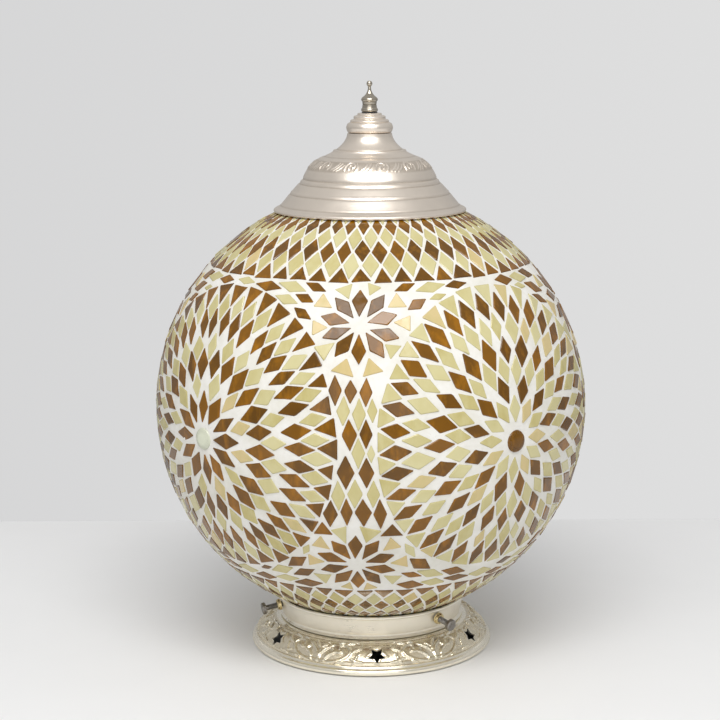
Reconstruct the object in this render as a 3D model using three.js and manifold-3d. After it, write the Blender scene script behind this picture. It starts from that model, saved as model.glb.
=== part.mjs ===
// Mosaic glass table lamp: a pierced metal foot and gallery cup, a lampholder with a bulb, a glass globe under a
// coat of set glass pieces, and an embossed cap with a finial.
// Millimetres, +Z up. The origin is under the middle of the foot, and the front of the lamp faces -Y.
import * as THREE from "three";
import { mergeVertices } from "three/addons/utils/BufferGeometryUtils.js";
import Module from "manifold-3d";

const wasm = await Module();
wasm.setup();

// Driving dimensions
const GLOBE_RADIUS = 150; // outside of the mosaic coat
const GLOBE_CENTRE = 171.5; // height of the globe's centre
const GAP = 0.3; // clearance between touching pieces
const SHEET = 1; // thickness of the spun metal
const ROUND = 36; // facets round a large piece
const SMALL_ROUND = 16; // facets round a small piece

const COAT_DEPTH = 2.7;
const GLASS_WALL = 2.6;
const GLASS_RADIUS = GLOBE_RADIUS - COAT_DEPTH - GAP;
const TOP_OPENING = 45; // radius of the hole under the cap
const NECK_RADIUS = 56; // outside of the globe's straight neck
const NECK_BOTTOM = 21;
const LATITUDE_STEP = 12; // degrees between the rings of facets that glass and coat share

const BAND_TOP_LATITUDE = 71.5;
const BAND_UPPER_LATITUDE = 42;
const BAND_LOWER_LATITUDE = -43.2;
const BAND_BOTTOM_LATITUDE = -66;
const SEAM = 0.08; // half of the angular gap between two zones of the coat
const MEDALLION_SPREAD = 37.5; // angular radius of a medallion
const MEDALLION_ROUND = 30;
const MEDALLION_AZIMUTHS = [-46.5, 38.4, 130, 222];

const FOOT_RIM = 0.5; // height of the rolled rim's lowest line above the felt's face
const DECK_TOP = 19.2; // top of the foot's deck
const STAR_COUNT = 6;
const STAR_FIRST = 2.7;
const STAR_RADIUS = 5.6;
const STAR_WAIST = 0.42; // inner over outer radius
const STAR_SPOT = { r: 76.6, z: 13.4, tilt: 50 };
const INLET = { azimuth: STAR_FIRST + 210, z: 9.5, bore: 2.9, barrel: 4, hole: 4.3 };

const SCREW_AZIMUTHS = [44, 164, -76];
const SCREW_DROOP = 11; // degrees below level, outwards
const SCREW_ANCHOR = { r: 65.3, z: 29.6 }; // where the screw's axis leaves the cup's wall
const SHANK_RADIUS = 2;
const CLEARANCE_RADIUS = 2.35;

const ROD_TOP = 380;
const CAP_DECK = 360.2;
const CAP_RIM = 306.9;

const DEGREE = Math.PI / 180;
const Z_AXIS = new THREE.Vector3(0, 0, 1);

function finish(color, roughness, metalness) {
  return new THREE.MeshStandardMaterial({ color, roughness, metalness });
}
const CHAMPAGNE = finish(0xcfc2aa, 0.32, 1);
const POLISHED = finish(0xa79a86, 0.22, 1);
const STEEL = finish(0xb4b6b8, 0.4, 1);
const DARK_STEEL = finish(0x4c4a48, 0.45, 1);
const BRASS = finish(0xb9974f, 0.35, 1);
const GLASS = finish(0xf1efe6, 0.1, 0);
const MOSAIC = finish(0xc9b787, 0.3, 0);
const MEDALLION = finish(0x9a6a35, 0.3, 0);
const RUBBER = finish(0x26241f, 0.85, 0);
const FELT = finish(0x2c2a28, 0.95, 0);
const CERAMIC = finish(0xe9e6df, 0.45, 0);
const OPAL = finish(0xf6f4ee, 0.35, 0);

const lamp = new THREE.Group();

// Adds one named mesh with a material of its own.
function place(name, geometry, material, parent = lamp) {
  const mesh = new THREE.Mesh(geometry, material.clone());
  mesh.name = name;
  parent.add(mesh);
  return mesh;
}

// Turns a profile of [radius, height] points round +Z. One that leaves the axis out is closed on itself.
function revolve(profile, segments = SMALL_ROUND) {
  const points = profile.map(([r, z]) => new THREE.Vector2(r, z));
  if (THREE.ShapeUtils.area(points) < 0) points.reverse();
  const onAxis = points.filter((p) => p.x === 0).length > 1;
  if (onAxis) {
    while (points[0].x !== 0 || points.at(-1).x !== 0) points.push(points.shift());
  } else {
    points.push(points[0].clone());
  }
  return new THREE.LatheGeometry(points, segments).rotateX(Math.PI / 2);
}

// The closed profile of a sheet whose outside follows the given points, with its thickness set off inwards.
function sheetProfile(outside, thickness) {
  const inside = outside.map(([r, z], i) => {
    const [r0, z0] = outside[Math.max(i - 1, 0)];
    const [r1, z1] = outside[Math.min(i + 1, outside.length - 1)];
    const length = Math.hypot(r1 - r0, z1 - z0);
    return [r - ((z1 - z0) / length) * thickness, z + ((r1 - r0) / length) * thickness];
  });
  return [...outside, ...inside.reverse()];
}

// A tube or, with no bore, a rod standing on +Z.
function tube(outer, inner, low, high, segments = SMALL_ROUND) {
  return revolve([[inner, low], [outer, low], [outer, high], [inner, high]], segments);
}

function solid(geometry) {
  const bare = geometry.index ? geometry.toNonIndexed() : geometry.clone();
  bare.deleteAttribute("normal");
  bare.deleteAttribute("uv");
  const merged = mergeVertices(bare, 1e-4);
  const triVerts = new Uint32Array(merged.index.array);
  const vertProperties = merged.attributes.position.array;
  return new wasm.Manifold(new wasm.Mesh({ numProp: 3, vertProperties, triVerts }));
}

function surface(body) {
  const { vertProperties, triVerts } = body.getMesh();
  const geometry = new THREE.BufferGeometry();
  geometry.setAttribute("position", new THREE.BufferAttribute(vertProperties, 3));
  geometry.setIndex(new THREE.BufferAttribute(triVerts, 1));
  geometry.computeVertexNormals();
  return geometry;
}

function cut(geometry, tools) {
  return surface(tools.reduce((body, tool) => body.subtract(solid(tool)), solid(geometry)));
}

// The level direction at an azimuth counted from the front, towards +X.
function outward(azimuth) {
  return new THREE.Vector3(Math.sin(azimuth * DEGREE), -Math.cos(azimuth * DEGREE), 0);
}

// A direction at an azimuth, tilted up from level.
function tilted(azimuth, tilt) {
  const level = outward(azimuth).multiplyScalar(Math.cos(tilt * DEGREE));
  return level.addScaledVector(Z_AXIS, Math.sin(tilt * DEGREE));
}

// A frame at a point, with its +Z along the given direction.
function aimed(position, direction) {
  const frame = new THREE.Group();
  frame.position.copy(position);
  frame.quaternion.setFromUnitVectors(Z_AXIS, direction);
  frame.updateMatrix();
  return frame;
}

function hexNut(flats, bore, low, high) {
  const outline = new THREE.Shape();
  const corner = flats / 2 / Math.cos(30 * DEGREE);
  outline.moveTo(corner, 0);
  for (let i = 1; i < 6; i++) {
    outline.lineTo(corner * Math.cos(i * 60 * DEGREE), corner * Math.sin(i * 60 * DEGREE));
  }
  outline.closePath();
  const hole = new THREE.Path().absarc(0, 0, bore, 0, 2 * Math.PI, true);
  outline.holes.push(hole);
  const settings = { depth: high - low, bevelEnabled: false, curveSegments: SMALL_ROUND / 2 };
  return new THREE.ExtrudeGeometry(outline, settings).translate(0, 0, low);
}

// The foot: a rolled rim, a sloping band pierced with stars and a level deck under the cup.
function starTool(azimuth) {
  const star = new THREE.Shape();
  for (let i = 0; i < 10; i++) {
    const reach = i % 2 ? STAR_RADIUS * STAR_WAIST : STAR_RADIUS;
    const angle = (i * 36 - 90) * DEGREE;
    if (i) star.lineTo(reach * Math.cos(angle), reach * Math.sin(angle));
    else star.moveTo(reach * Math.cos(angle), reach * Math.sin(angle));
  }
  const out = tilted(azimuth, STAR_SPOT.tilt);
  const up = tilted(azimuth, STAR_SPOT.tilt + 90);
  const spot = outward(azimuth).multiplyScalar(STAR_SPOT.r).setZ(STAR_SPOT.z);
  const frame = new THREE.Matrix4().makeBasis(up.clone().cross(out), up, out).setPosition(spot);
  const depth = 8;
  const geometry = new THREE.ExtrudeGeometry(star, { depth, bevelEnabled: false });
  return geometry.translate(0, 0, -depth / 2).applyMatrix4(frame);
}

const FOOT_OUTLINE = [
  [82.6, FOOT_RIM], [85, 1], [85.5, 2.5], [84.6, 4.3], [83.3, 5.6], [81.6, 8], [76.4, 13.8], [70, 17.8],
  [66.2, DECK_TOP], [5.4, DECK_TOP],
];
const inletFrame = aimed(new THREE.Vector3(0, 0, INLET.z), outward(INLET.azimuth));
const inletHole = tube(INLET.hole, 0, 66, 90).applyMatrix4(inletFrame.matrix);
const stars = Array.from({ length: STAR_COUNT }, (_, i) => starTool(STAR_FIRST + (i * 360) / STAR_COUNT));
place("foot_skirt", cut(revolve(sheetProfile(FOOT_OUTLINE, SHEET), ROUND), [...stars, inletHole]), CHAMPAGNE);

const grommetProfile = [
  [INLET.bore, 69.6], [5.2, 69.6], [5.2, 71], [INLET.barrel, 71], [INLET.barrel, 84.6], [3.4, 85.6],
  [INLET.bore, 85.6],
];
lamp.add(inletFrame);
place("cord_grommet", revolve(grommetProfile), RUBBER, inletFrame);

const PLATE_RADIUS = 80.8;
place("felt_disc", tube(PLATE_RADIUS - 0.8, 0, 0, 1.2, ROUND), FELT);
place("bottom_plate", tube(PLATE_RADIUS, 10, 1.5, 2.7, ROUND), STEEL);

// The gallery cup, with three brass bosses for the screws that hold the globe's neck.
const CUP_OUTLINE = [
  [5.4, DECK_TOP + GAP], [64.5, DECK_TOP + GAP], [63.6, 21.2], [65.3, 30.4], [66.9, 35.5], [66.2, 36.2],
];
const screwFrames = SCREW_AZIMUTHS.map((azimuth) => {
  const anchor = outward(azimuth).multiplyScalar(SCREW_ANCHOR.r).setZ(SCREW_ANCHOR.z);
  return aimed(anchor, tilted(azimuth, -SCREW_DROOP));
});
const screwHoles = screwFrames.map((frame) => tube(CLEARANCE_RADIUS, 0, -5, 5).applyMatrix4(frame.matrix));
place("gallery_cup", cut(revolve(sheetProfile(CUP_OUTLINE, SHEET), ROUND), screwHoles), CHAMPAGNE);

const TIP_REACH = -8.9; // the screw tip's face, along the screw's axis from the cup's wall
const TIP_LENGTH = 2.3;
const HEAD_START = 11.6;
const HEAD_END = 14.8;
screwFrames.forEach((frame, i) => {
  const number = i + 1;
  const bossProfile = [[CLEARANCE_RADIUS, 0.7], [4, 0.7], [4, 2], [3.4, 3.6], [CLEARANCE_RADIUS, 3.6]];
  const tipEnd = TIP_REACH + TIP_LENGTH;
  const shankProfile = [
    [0, tipEnd + GAP], [SHANK_RADIUS, tipEnd + GAP], [SHANK_RADIUS, HEAD_START], [4.2, HEAD_START],
    [4.2, HEAD_END - 0.5], [3.7, HEAD_END], [0, HEAD_END],
  ];
  const tipProfile = [[0, TIP_REACH], [2.2, TIP_REACH], [2.5, tipEnd], [0, tipEnd]];
  lamp.add(frame);
  place(`screw_boss_${number}`, revolve(bossProfile), BRASS, frame);
  place(`screw_tip_${number}`, revolve(tipProfile), RUBBER, frame);
  place(`thumb_screw_${number}`, revolve(shankProfile), DARK_STEEL, frame);
});

// The threaded tube that clamps the cup on the foot and carries the lampholder.
const NIPPLE_RADIUS = 4.75;
const NIPPLE_HOLE = 5.1;
place("nipple", tube(NIPPLE_RADIUS, 3.4, 9, 40), BRASS);
place("washer_lower", tube(11, NIPPLE_HOLE, 16.6, 17.8), STEEL);
place("nut_lower", hexNut(16, NIPPLE_HOLE, 12.3, 16.3), BRASS);
place("washer_upper", tube(11, NIPPLE_HOLE, 20.8, 21.8), STEEL);
place("nut_upper", hexNut(16, NIPPLE_HOLE, 22.1, 26.1), BRASS);

// The lampholder.
const holderCapProfile = [
  [NIPPLE_HOLE, 26.5], [8, 26.5], [8, 32], [19.5, 38], [19.5, 46], [18, 46], [18, 39], [8, 34],
  [NIPPLE_HOLE, 34],
];
place("holder_cap", revolve(holderCapProfile), CERAMIC);
place("holder_body", revolve([[17.7, 46.3], [19.3, 46.3], [19.3, 79.4], [18.6, 80], [17.7, 80]]), CERAMIC);
const TERMINAL_SPREAD = 9;
const terminalHoles = [-1, 1].map((side) => tube(1.8, 0, 40, 60).translate(side * TERMINAL_SPREAD, 0, 0));
place("holder_insulator", cut(tube(17.2, 0, 48, 55), terminalHoles), CERAMIC);
const shellProfile = [[6, 55.5], [14.9, 55.5], [14.9, 79], [13.8, 79], [13.8, 56.5], [6, 56.5]];
place("holder_thread_shell", revolve(shellProfile), BRASS);
place("holder_ring", revolve([[19.7, 60], [23, 60.6], [23, 65.4], [19.7, 66]]), CERAMIC);
[-1, 1].forEach((side, i) => {
  const screw = revolve([[0, 45.4], [3, 45.4], [3, 47.6], [1.4, 47.6], [1.4, 53], [0, 53]], 12);
  place(`terminal_screw_${i + 1}`, screw.translate(side * TERMINAL_SPREAD, 0, 0), BRASS);
});
const contactOutline = new THREE.Shape();
contactOutline.moveTo(-4.5, 55.4).lineTo(4, 55.4).lineTo(4.4, 56).lineTo(3.6, 57.4).lineTo(-3.4, 59.6);
contactOutline.lineTo(-3.6, 58.9).lineTo(2.9, 56.8).lineTo(3.1, 56.1).lineTo(-4.5, 56.1).closePath();
const CONTACT_WIDTH = 4;
const contact = new THREE.ExtrudeGeometry(contactOutline, { depth: CONTACT_WIDTH, bevelEnabled: false });
place("centre_contact", contact.translate(0, 0, -CONTACT_WIDTH / 2).rotateX(Math.PI / 2), BRASS);

// The bulb.
const BULB_DOME = { z: 130, radius: 30, rise: 38, foot: 118.4 };
place("bulb_contact", revolve([[0, 60.2], [3, 60.2], [4.4, 61.4], [4.4, 62], [0, 62]]), STEEL);
place("bulb_insulator", revolve([[0, 62.3], [5, 62.3], [11.8, 66], [0, 66]]), RUBBER);
const bulbCapProfile = [
  [4, 66.3], [12.6, 66.3], [13.2, 67.2], [13.2, 86], [12.4, 86], [12.4, 67.2], [4, 67.2],
];
place("bulb_screw_cap", revolve(bulbCapProfile), STEEL);
const housingProfile = [
  [12, 86.3], [14.2, 86.3], [15.5, 92], [21, 104], [27, 113], [28.4, 118], [26.9, 118], [25.4, 113.5], [12, 90],
];
place("bulb_housing", revolve(housingProfile), CERAMIC);
place("bulb_led_board", tube(24.4, 0, 115, 116.6), STEEL);
function domeArc(inset) {
  const radius = BULB_DOME.radius - inset;
  const rise = BULB_DOME.rise - inset;
  const start = Math.asin((BULB_DOME.foot - BULB_DOME.z) / rise);
  const steps = 9;
  return Array.from({ length: steps + 1 }, (_, i) => {
    const angle = start + ((Math.PI / 2 - start) * i) / steps;
    return [i === steps ? 0 : radius * Math.cos(angle), BULB_DOME.z + rise * Math.sin(angle)];
  });
}
place("bulb_diffuser", revolve([...domeArc(0), ...domeArc(1.2).reverse()]), OPAL);

// Latitudes of the rings of facets between two limits. Glass and coat share them, so their facets stay parallel.
function latitudes(low, high) {
  const rings = [low];
  for (let step = Math.ceil((low + 1) / LATITUDE_STEP); step * LATITUDE_STEP < high - 1; step++) {
    rings.push(step * LATITUDE_STEP);
  }
  return [...rings, high];
}

function globeArc(radius, low, high) {
  return latitudes(low, high).map((latitude) => [
    radius * Math.cos(latitude * DEGREE),
    GLOBE_CENTRE + radius * Math.sin(latitude * DEGREE),
  ]);
}

// The glass globe: open at the top under the cap, and at the bottom in a straight neck that stands in the cup.
function glassArc(radius, neck) {
  const latitudeAt = (spread) => Math.acos(spread / radius) / DEGREE;
  return globeArc(radius, -latitudeAt(neck), latitudeAt(TOP_OPENING));
}
const neckInside = NECK_RADIUS - GLASS_WALL;
const glassOutside = glassArc(GLASS_RADIUS, NECK_RADIUS);
const glassInside = glassArc(GLASS_RADIUS - GLASS_WALL, neckInside);
const glassProfile = [
  [NECK_RADIUS, NECK_BOTTOM], ...glassOutside, ...glassInside.reverse(), [neckInside, NECK_BOTTOM],
];
place("glass_globe", revolve(glassProfile, ROUND), GLASS);

// The coat of set glass and grout, in its zones.
function coat(low, high) {
  const inside = globeArc(GLOBE_RADIUS - COAT_DEPTH, low, high);
  return revolve([...globeArc(GLOBE_RADIUS, low, high), ...inside.reverse()], ROUND);
}

function medallionCone(azimuth, spread) {
  const length = 1.15 * GLOBE_RADIUS;
  const cone = new THREE.ConeGeometry(length * Math.tan(spread * DEGREE), length, MEDALLION_ROUND);
  const turn = new THREE.Quaternion().setFromUnitVectors(new THREE.Vector3(0, -1, 0), outward(azimuth));
  return cone.translate(0, -length / 2, 0).applyQuaternion(turn).translate(0, 0, GLOBE_CENTRE);
}

place("mosaic_top_band", coat(BAND_UPPER_LATITUDE + SEAM, BAND_TOP_LATITUDE), MOSAIC);
place("mosaic_bottom_band", coat(BAND_BOTTOM_LATITUDE, BAND_LOWER_LATITUDE - SEAM), MOSAIC);
const field = coat(BAND_LOWER_LATITUDE + SEAM, BAND_UPPER_LATITUDE - SEAM);
const fieldHoles = MEDALLION_AZIMUTHS.map((azimuth) => medallionCone(azimuth, MEDALLION_SPREAD + SEAM));
place("mosaic_field", cut(field, fieldHoles), MOSAIC);
const medallionCoat = solid(coat(BAND_LOWER_LATITUDE, BAND_UPPER_LATITUDE));
MEDALLION_AZIMUTHS.forEach((azimuth, i) => {
  const disc = medallionCoat.intersect(solid(medallionCone(azimuth, MEDALLION_SPREAD - SEAM)));
  place(`mosaic_medallion_${i + 1}`, surface(disc), MEDALLION);
});

// The crossbar inside the top opening, and the rod that it holds up through the cap.
const BAR = { length: 100, width: 12, low: 301.6, high: 303.6 };
const bar = new THREE.BoxGeometry(BAR.length, BAR.width, BAR.high - BAR.low);
bar.translate(0, 0, (BAR.low + BAR.high) / 2);
place("crossbar", cut(bar, [tube(CLEARANCE_RADIUS, 0, 290, 310)]), STEEL);
const PAD = { length: 3, height: 2.4, inset: 1.7 };
[-1, 1].forEach((side, i) => {
  const pad = new THREE.BoxGeometry(PAD.length, BAR.width - 2, PAD.height);
  pad.translate(side * (BAR.length / 2 - PAD.inset), 0, BAR.high + GAP + PAD.height / 2);
  place(`crossbar_pad_${i + 1}`, pad, RUBBER);
});
place("cap_rod", tube(SHANK_RADIUS, 0, 296, ROD_TOP), STEEL);
place("rod_nut_lower", hexNut(7, CLEARANCE_RADIUS, BAR.low - GAP - 3, BAR.low - GAP), STEEL);
place("rod_nut_upper", hexNut(7, CLEARANCE_RADIUS, BAR.high + GAP, BAR.high + GAP + 3), STEEL);

// The cap, the crown on it, and the finial that screws down on the rod.
const CAP_OUTLINE = [
  [65, CAP_RIM], [66.2, CAP_RIM + 1.2], [62.8, 310.4], [55, 319.6], [48.6, 326.8], [45.9, 330],
  [42, 337.2], [34.4, 343.4], [26, 347.4], [17.9, 353.9], [15.2, CAP_DECK], [2.6, CAP_DECK],
];
place("top_cap", revolve(sheetProfile(CAP_OUTLINE, SHEET), ROUND), CHAMPAGNE);
const CROWN_OUTLINE = [
  [2.6, 360.5], [15, 360.5], [15.9, 364], [15, 366.6], [12.3, 368.6], [10, 371.4], [7.4, 373.8], [2.6, 373.8],
];
place("cap_crown", revolve(CROWN_OUTLINE, 24), CHAMPAGNE);
place("finial_washer", tube(5.4, 2.6, 374.1, 374.7), RUBBER);
const FINIAL_BALL = { z: 393.7, radius: 1.8 };
const BALL_STEPS = 5;
const ballArc = Array.from({ length: BALL_STEPS + 1 }, (_, i) => {
  const angle = (-60 + (i * 150) / BALL_STEPS) * DEGREE;
  const r = i === BALL_STEPS ? 0 : FINIAL_BALL.radius * Math.cos(angle);
  return [r, FINIAL_BALL.z + FINIAL_BALL.radius * Math.sin(angle)];
});
const FINIAL_OUTLINE = [
  [0, ROD_TOP + 1], [CLEARANCE_RADIUS, ROD_TOP + 1], [CLEARANCE_RADIUS, 375], [5.7, 375], [5.7, 376.6], [5, 377.8],
  [5, 381.8], [5.7, 383.4], [2.1, 387.2], [1, 390.4], ...ballArc,
];
place("finial", revolve(FINIAL_OUTLINE), POLISHED);

export default lamp;
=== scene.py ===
"""A mosaic glass table lamp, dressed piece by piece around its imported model.

The globe carries diamonds, triangles and petals of brown, cream and peach glass, set in warm
white grout. It stands in a gallery cup on a pierced, embossed foot, under an embossed bell cap
with a crown and a finial.
Sizes in the classes are millimetres and angles are degrees. Meshes are made in metres, in the row's frame.
"""

import sys

import logging
import math
from dataclasses import dataclass, field, replace
from enum import Enum
from typing import Callable, Iterable, Optional, Sequence, Union

import bmesh
import bpy
import numpy as np
from mathutils import Matrix, Vector, noise


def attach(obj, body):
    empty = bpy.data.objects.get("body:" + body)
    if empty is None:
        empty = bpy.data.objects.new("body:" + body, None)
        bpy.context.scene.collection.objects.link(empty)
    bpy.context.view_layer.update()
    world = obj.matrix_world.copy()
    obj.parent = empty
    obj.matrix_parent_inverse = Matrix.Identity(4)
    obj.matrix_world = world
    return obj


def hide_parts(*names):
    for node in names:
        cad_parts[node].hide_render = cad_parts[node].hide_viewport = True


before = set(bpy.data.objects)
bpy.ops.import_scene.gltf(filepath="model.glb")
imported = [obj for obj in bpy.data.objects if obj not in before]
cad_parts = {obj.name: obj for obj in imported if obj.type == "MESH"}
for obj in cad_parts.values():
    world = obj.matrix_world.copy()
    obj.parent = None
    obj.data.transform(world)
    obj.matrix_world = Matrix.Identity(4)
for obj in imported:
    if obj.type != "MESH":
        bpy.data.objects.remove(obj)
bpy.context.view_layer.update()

LOG = logging.getLogger("lamp")
MM = 0.001
DEGREE = math.pi / 180
GLOBE_CENTRE = 171.5
GLOBE_RADIUS = 150.0
M4_PITCH = 0.7

Point = tuple[float, float]
Span = tuple[Union[float, Point], ...]
Ripple = Callable[[np.ndarray, np.ndarray], np.ndarray]
Colour = tuple[float, float, float]
Socket = bpy.types.NodeSocket
Input = Union[Socket, float, Sequence[float]]


# --------------------------------------------------------------------------------------------------
# Directions and lines


def outward(azimuth: float, tilt: float = 0.0) -> Vector:
    """The direction at an azimuth from the front, towards +X, tilted up from level."""
    a, t = azimuth * DEGREE, tilt * DEGREE
    return Vector((math.sin(a) * math.cos(t), -math.cos(a) * math.cos(t), math.sin(t)))


def eastward(azimuth: float) -> Vector:
    """The level direction in which the azimuth grows."""
    return Vector((math.cos(azimuth * DEGREE), math.sin(azimuth * DEGREE), 0))


def northward(azimuth: float, latitude: float) -> Vector:
    """The direction in which the latitude grows, at a place on the globe."""
    return outward(azimuth, latitude + 90)


def smooth_line(points: Sequence[Point], step: float) -> np.ndarray:
    """A smooth line through the points.

    Args:
        points: Two or more points that the line passes through.
        step: The distance between the points that come back.

    Returns:
        An array of points, from the first to the last.
    """
    knots = np.asarray(points, float)
    if len(knots) == 2:
        fine = knots
    else:
        ends = np.vstack([2 * knots[0] - knots[1], knots, 2 * knots[-1] - knots[-2]])
        share = np.linspace(0, 1, 24, endpoint=False)[:, None]
        spans = []
        for a, b, c, d in zip(ends, ends[1:], ends[2:], ends[3:]):
            curve = 2 * b + (c - a) * share + (2 * a - 5 * b + 4 * c - d) * share**2
            spans.append(0.5 * (curve + (3 * b - a - 3 * c + d) * share**3))
        fine = np.vstack([*spans, knots[-1:]])
    travel = np.concatenate([[0], np.cumsum(np.linalg.norm(np.diff(fine, axis=0), axis=1))])
    count = max(2, int(round(travel[-1] / step)) + 1)
    wanted = np.linspace(0, travel[-1], count)
    return np.stack([np.interp(wanted, travel, fine[:, k]) for k in (0, 1)], axis=1)


def trace(start: Point, *spans: Span) -> np.ndarray:
    """Follows an outline of [radius, height].

    Args:
        start: Where the outline starts.
        spans: Each smooth span, as the distance between its points and then the points on its way.

    Returns:
        The outline's points.
    """
    lines, last = [np.array([start], float)], start
    for step, *points in spans:
        lines.append(smooth_line((last, *points), step)[1:])
        last = points[-1]
    return np.vstack(lines)


def outline_normals(outline: np.ndarray, closed: bool) -> np.ndarray:
    """Unit normals of an outline that has its material on the left."""
    if closed:
        along = np.roll(outline, -1, axis=0) - np.roll(outline, 1, axis=0)
    else:
        along = np.gradient(outline, axis=0)
    normal = np.stack([along[:, 1], -along[:, 0]], axis=1)
    return normal / np.maximum(np.linalg.norm(normal, axis=1, keepdims=True), 1e-9)


def sheet_outline(outside: np.ndarray, wall: float, step: float = 2.5) -> np.ndarray:
    """The closed outline of a sheet.

    Args:
        outside: The outer face's points, with the material on the left.
        wall: The sheet's thickness.
        step: The distance between the points of the inner face.

    Returns:
        The outer face's points, then the inner face's, back to the start.
    """
    inner = outside - outline_normals(outside, closed=False) * wall
    travel = np.concatenate([[0], np.cumsum(np.linalg.norm(np.diff(inner, axis=0), axis=1))])
    kept = np.linspace(0, travel[-1], max(3, int(travel[-1] / step)))
    inner = np.stack([np.interp(kept, travel, inner[:, k]) for k in (0, 1)], axis=1)
    return np.vstack([outside, inner[::-1]])


# --------------------------------------------------------------------------------------------------
# Relief on turned walls


@dataclass(frozen=True)
class Ring:
    """A bead, or a groove where the rise is negative, that runs all the way round."""

    radius: float
    height: float
    width: float
    rise: float


@dataclass(frozen=True)
class Stroke:
    """One raised stroke of an embossed pattern, thin at its ends.

    Its line is [round, up] from the motif's middle.
    """

    line: tuple[Point, ...]
    width: float
    rise: float = 0.8
    even: bool = False

    def height(self, around: np.ndarray, up: np.ndarray) -> np.ndarray:
        """How far the stroke stands out at each point of a grid."""
        line = smooth_line(self.line, max(self.width, 0.8)) if not self.even else np.asarray(self.line)
        spans = len(line) - 1
        best = np.zeros(np.broadcast(around, up).shape)
        for i, (start, end) in enumerate(zip(line, line[1:])):
            span = end - start
            share = ((around - start[0]) * span[0] + (up - start[1]) * span[1]) / max(span @ span, 1e-9)
            share = np.clip(share, 0, 1)
            gap = np.hypot(around - start[0] - share * span[0], up - start[1] - share * span[1])
            place = (i + share) / spans
            reach = self.width if self.even else self.width * (0.28 + 0.72 * np.sin(np.pi * place) ** 0.8)
            best = np.maximum(best, np.clip(1 - (gap / reach) ** 2, 0, 1) ** 0.6)
        return best * self.rise


@dataclass(frozen=True)
class Motif:
    """A pattern of strokes that repeats round a wall."""

    strokes: tuple[Stroke, ...]
    count: int
    first: float
    middle: Point  # radius and height of the motif's middle line


@dataclass
class Relief:
    """Everything that stands out of a turned wall, or is pressed into it."""

    rings: tuple[Ring, ...] = ()
    motifs: tuple[Motif, ...] = ()
    unevenness: float = 0.03
    grain: float = 22.0

    def heights(self, azimuth: np.ndarray, outline: np.ndarray) -> tuple[np.ndarray, np.ndarray]:
        """The relief over a grid.

        Args:
            azimuth: Degrees round the wall.
            outline: The wall's points of [radius, height].

        Returns:
            How far each point stands out, and how deep it lies between raised strokes, from 0 to 1.
        """
        travel = np.concatenate([[0], np.cumsum(np.linalg.norm(np.diff(outline, axis=0), axis=1))])
        raised = np.zeros((len(outline), len(azimuth)))
        hollow = np.zeros_like(raised)
        for motif in self.motifs:
            start = int(np.argmin(np.linalg.norm(outline - motif.middle, axis=1)))
            pitch = 360 / motif.count
            turn = (azimuth - motif.first + pitch / 2) % pitch - pitch / 2
            around = turn[None, :] * DEGREE * motif.middle[0]
            up = (travel - travel[start])[:, None]
            height = np.zeros_like(raised)
            for stroke in motif.strokes:
                height = np.maximum(height, stroke.height(around, up))
            lines = [np.asarray(stroke.line) for stroke in motif.strokes]
            low = min(line[:, 1].min() for line in lines) - 1.5
            high = max(line[:, 1].max() for line in lines) + 1.5
            within = np.clip(np.minimum(up - low, high - up) / 1.5, 0, 1)
            tallest = max(stroke.rise for stroke in motif.strokes)
            hollow = np.maximum(hollow, within * np.clip(1 - 1.6 * height / tallest, 0, 1))
            raised += height
        for ring in self.rings:
            start = int(np.argmin(np.linalg.norm(outline - (ring.radius, ring.height), axis=1)))
            shape = np.exp(-(((travel - travel[start]) / ring.width) ** 2))[:, None]
            raised += ring.rise * shape
            hollow = np.maximum(hollow, shape * (ring.rise < 0))
        return raised, hollow

    def dents(self, places: np.ndarray) -> np.ndarray:
        """Slight unevenness of a hand-worked wall at each place."""
        scale = 1 / self.grain
        return np.array([noise.noise(Vector(p * scale)) for p in places]) * self.unevenness


@dataclass(frozen=True)
class Thread:
    """A screw thread on a turned wall, between two heights."""

    low: float
    high: float
    pitch: float
    depth: float
    fade: float = 0.0  # how far in from each end the thread reaches its full depth

    def __call__(self, azimuth: np.ndarray, height: np.ndarray) -> np.ndarray:
        """How far the thread stands out at each point of a grid."""
        inside = np.minimum(height - self.low, self.high - height)
        share = np.clip(inside / self.fade, 0, 1) if self.fade else inside > 0
        return share * self.depth * np.cos(2 * np.pi * (height / self.pitch - azimuth / 360))


# --------------------------------------------------------------------------------------------------
# Meshes


def object_of(name: str, mesh: bpy.types.Mesh) -> bpy.types.Object:
    """Puts a mesh into the scene under a name."""
    made = bpy.data.objects.new(name, mesh)
    bpy.context.scene.collection.objects.link(made)
    return made


def store(mesh: bpy.types.Mesh, name: str, domain: str, values: np.ndarray) -> None:
    """Keeps one number for each point or face of a mesh."""
    layer = mesh.attributes.new(name, "FLOAT", domain)
    layer.data.foreach_set("value", np.asarray(values, np.float32).ravel())


def soften(mesh: bpy.types.Mesh, angle: float = 38.0) -> None:
    """Shades a mesh smooth, but keeps its edges over an angle sharp."""
    mesh.shade_smooth()
    mesh.set_sharp_from_angle(angle=angle * DEGREE)


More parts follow.
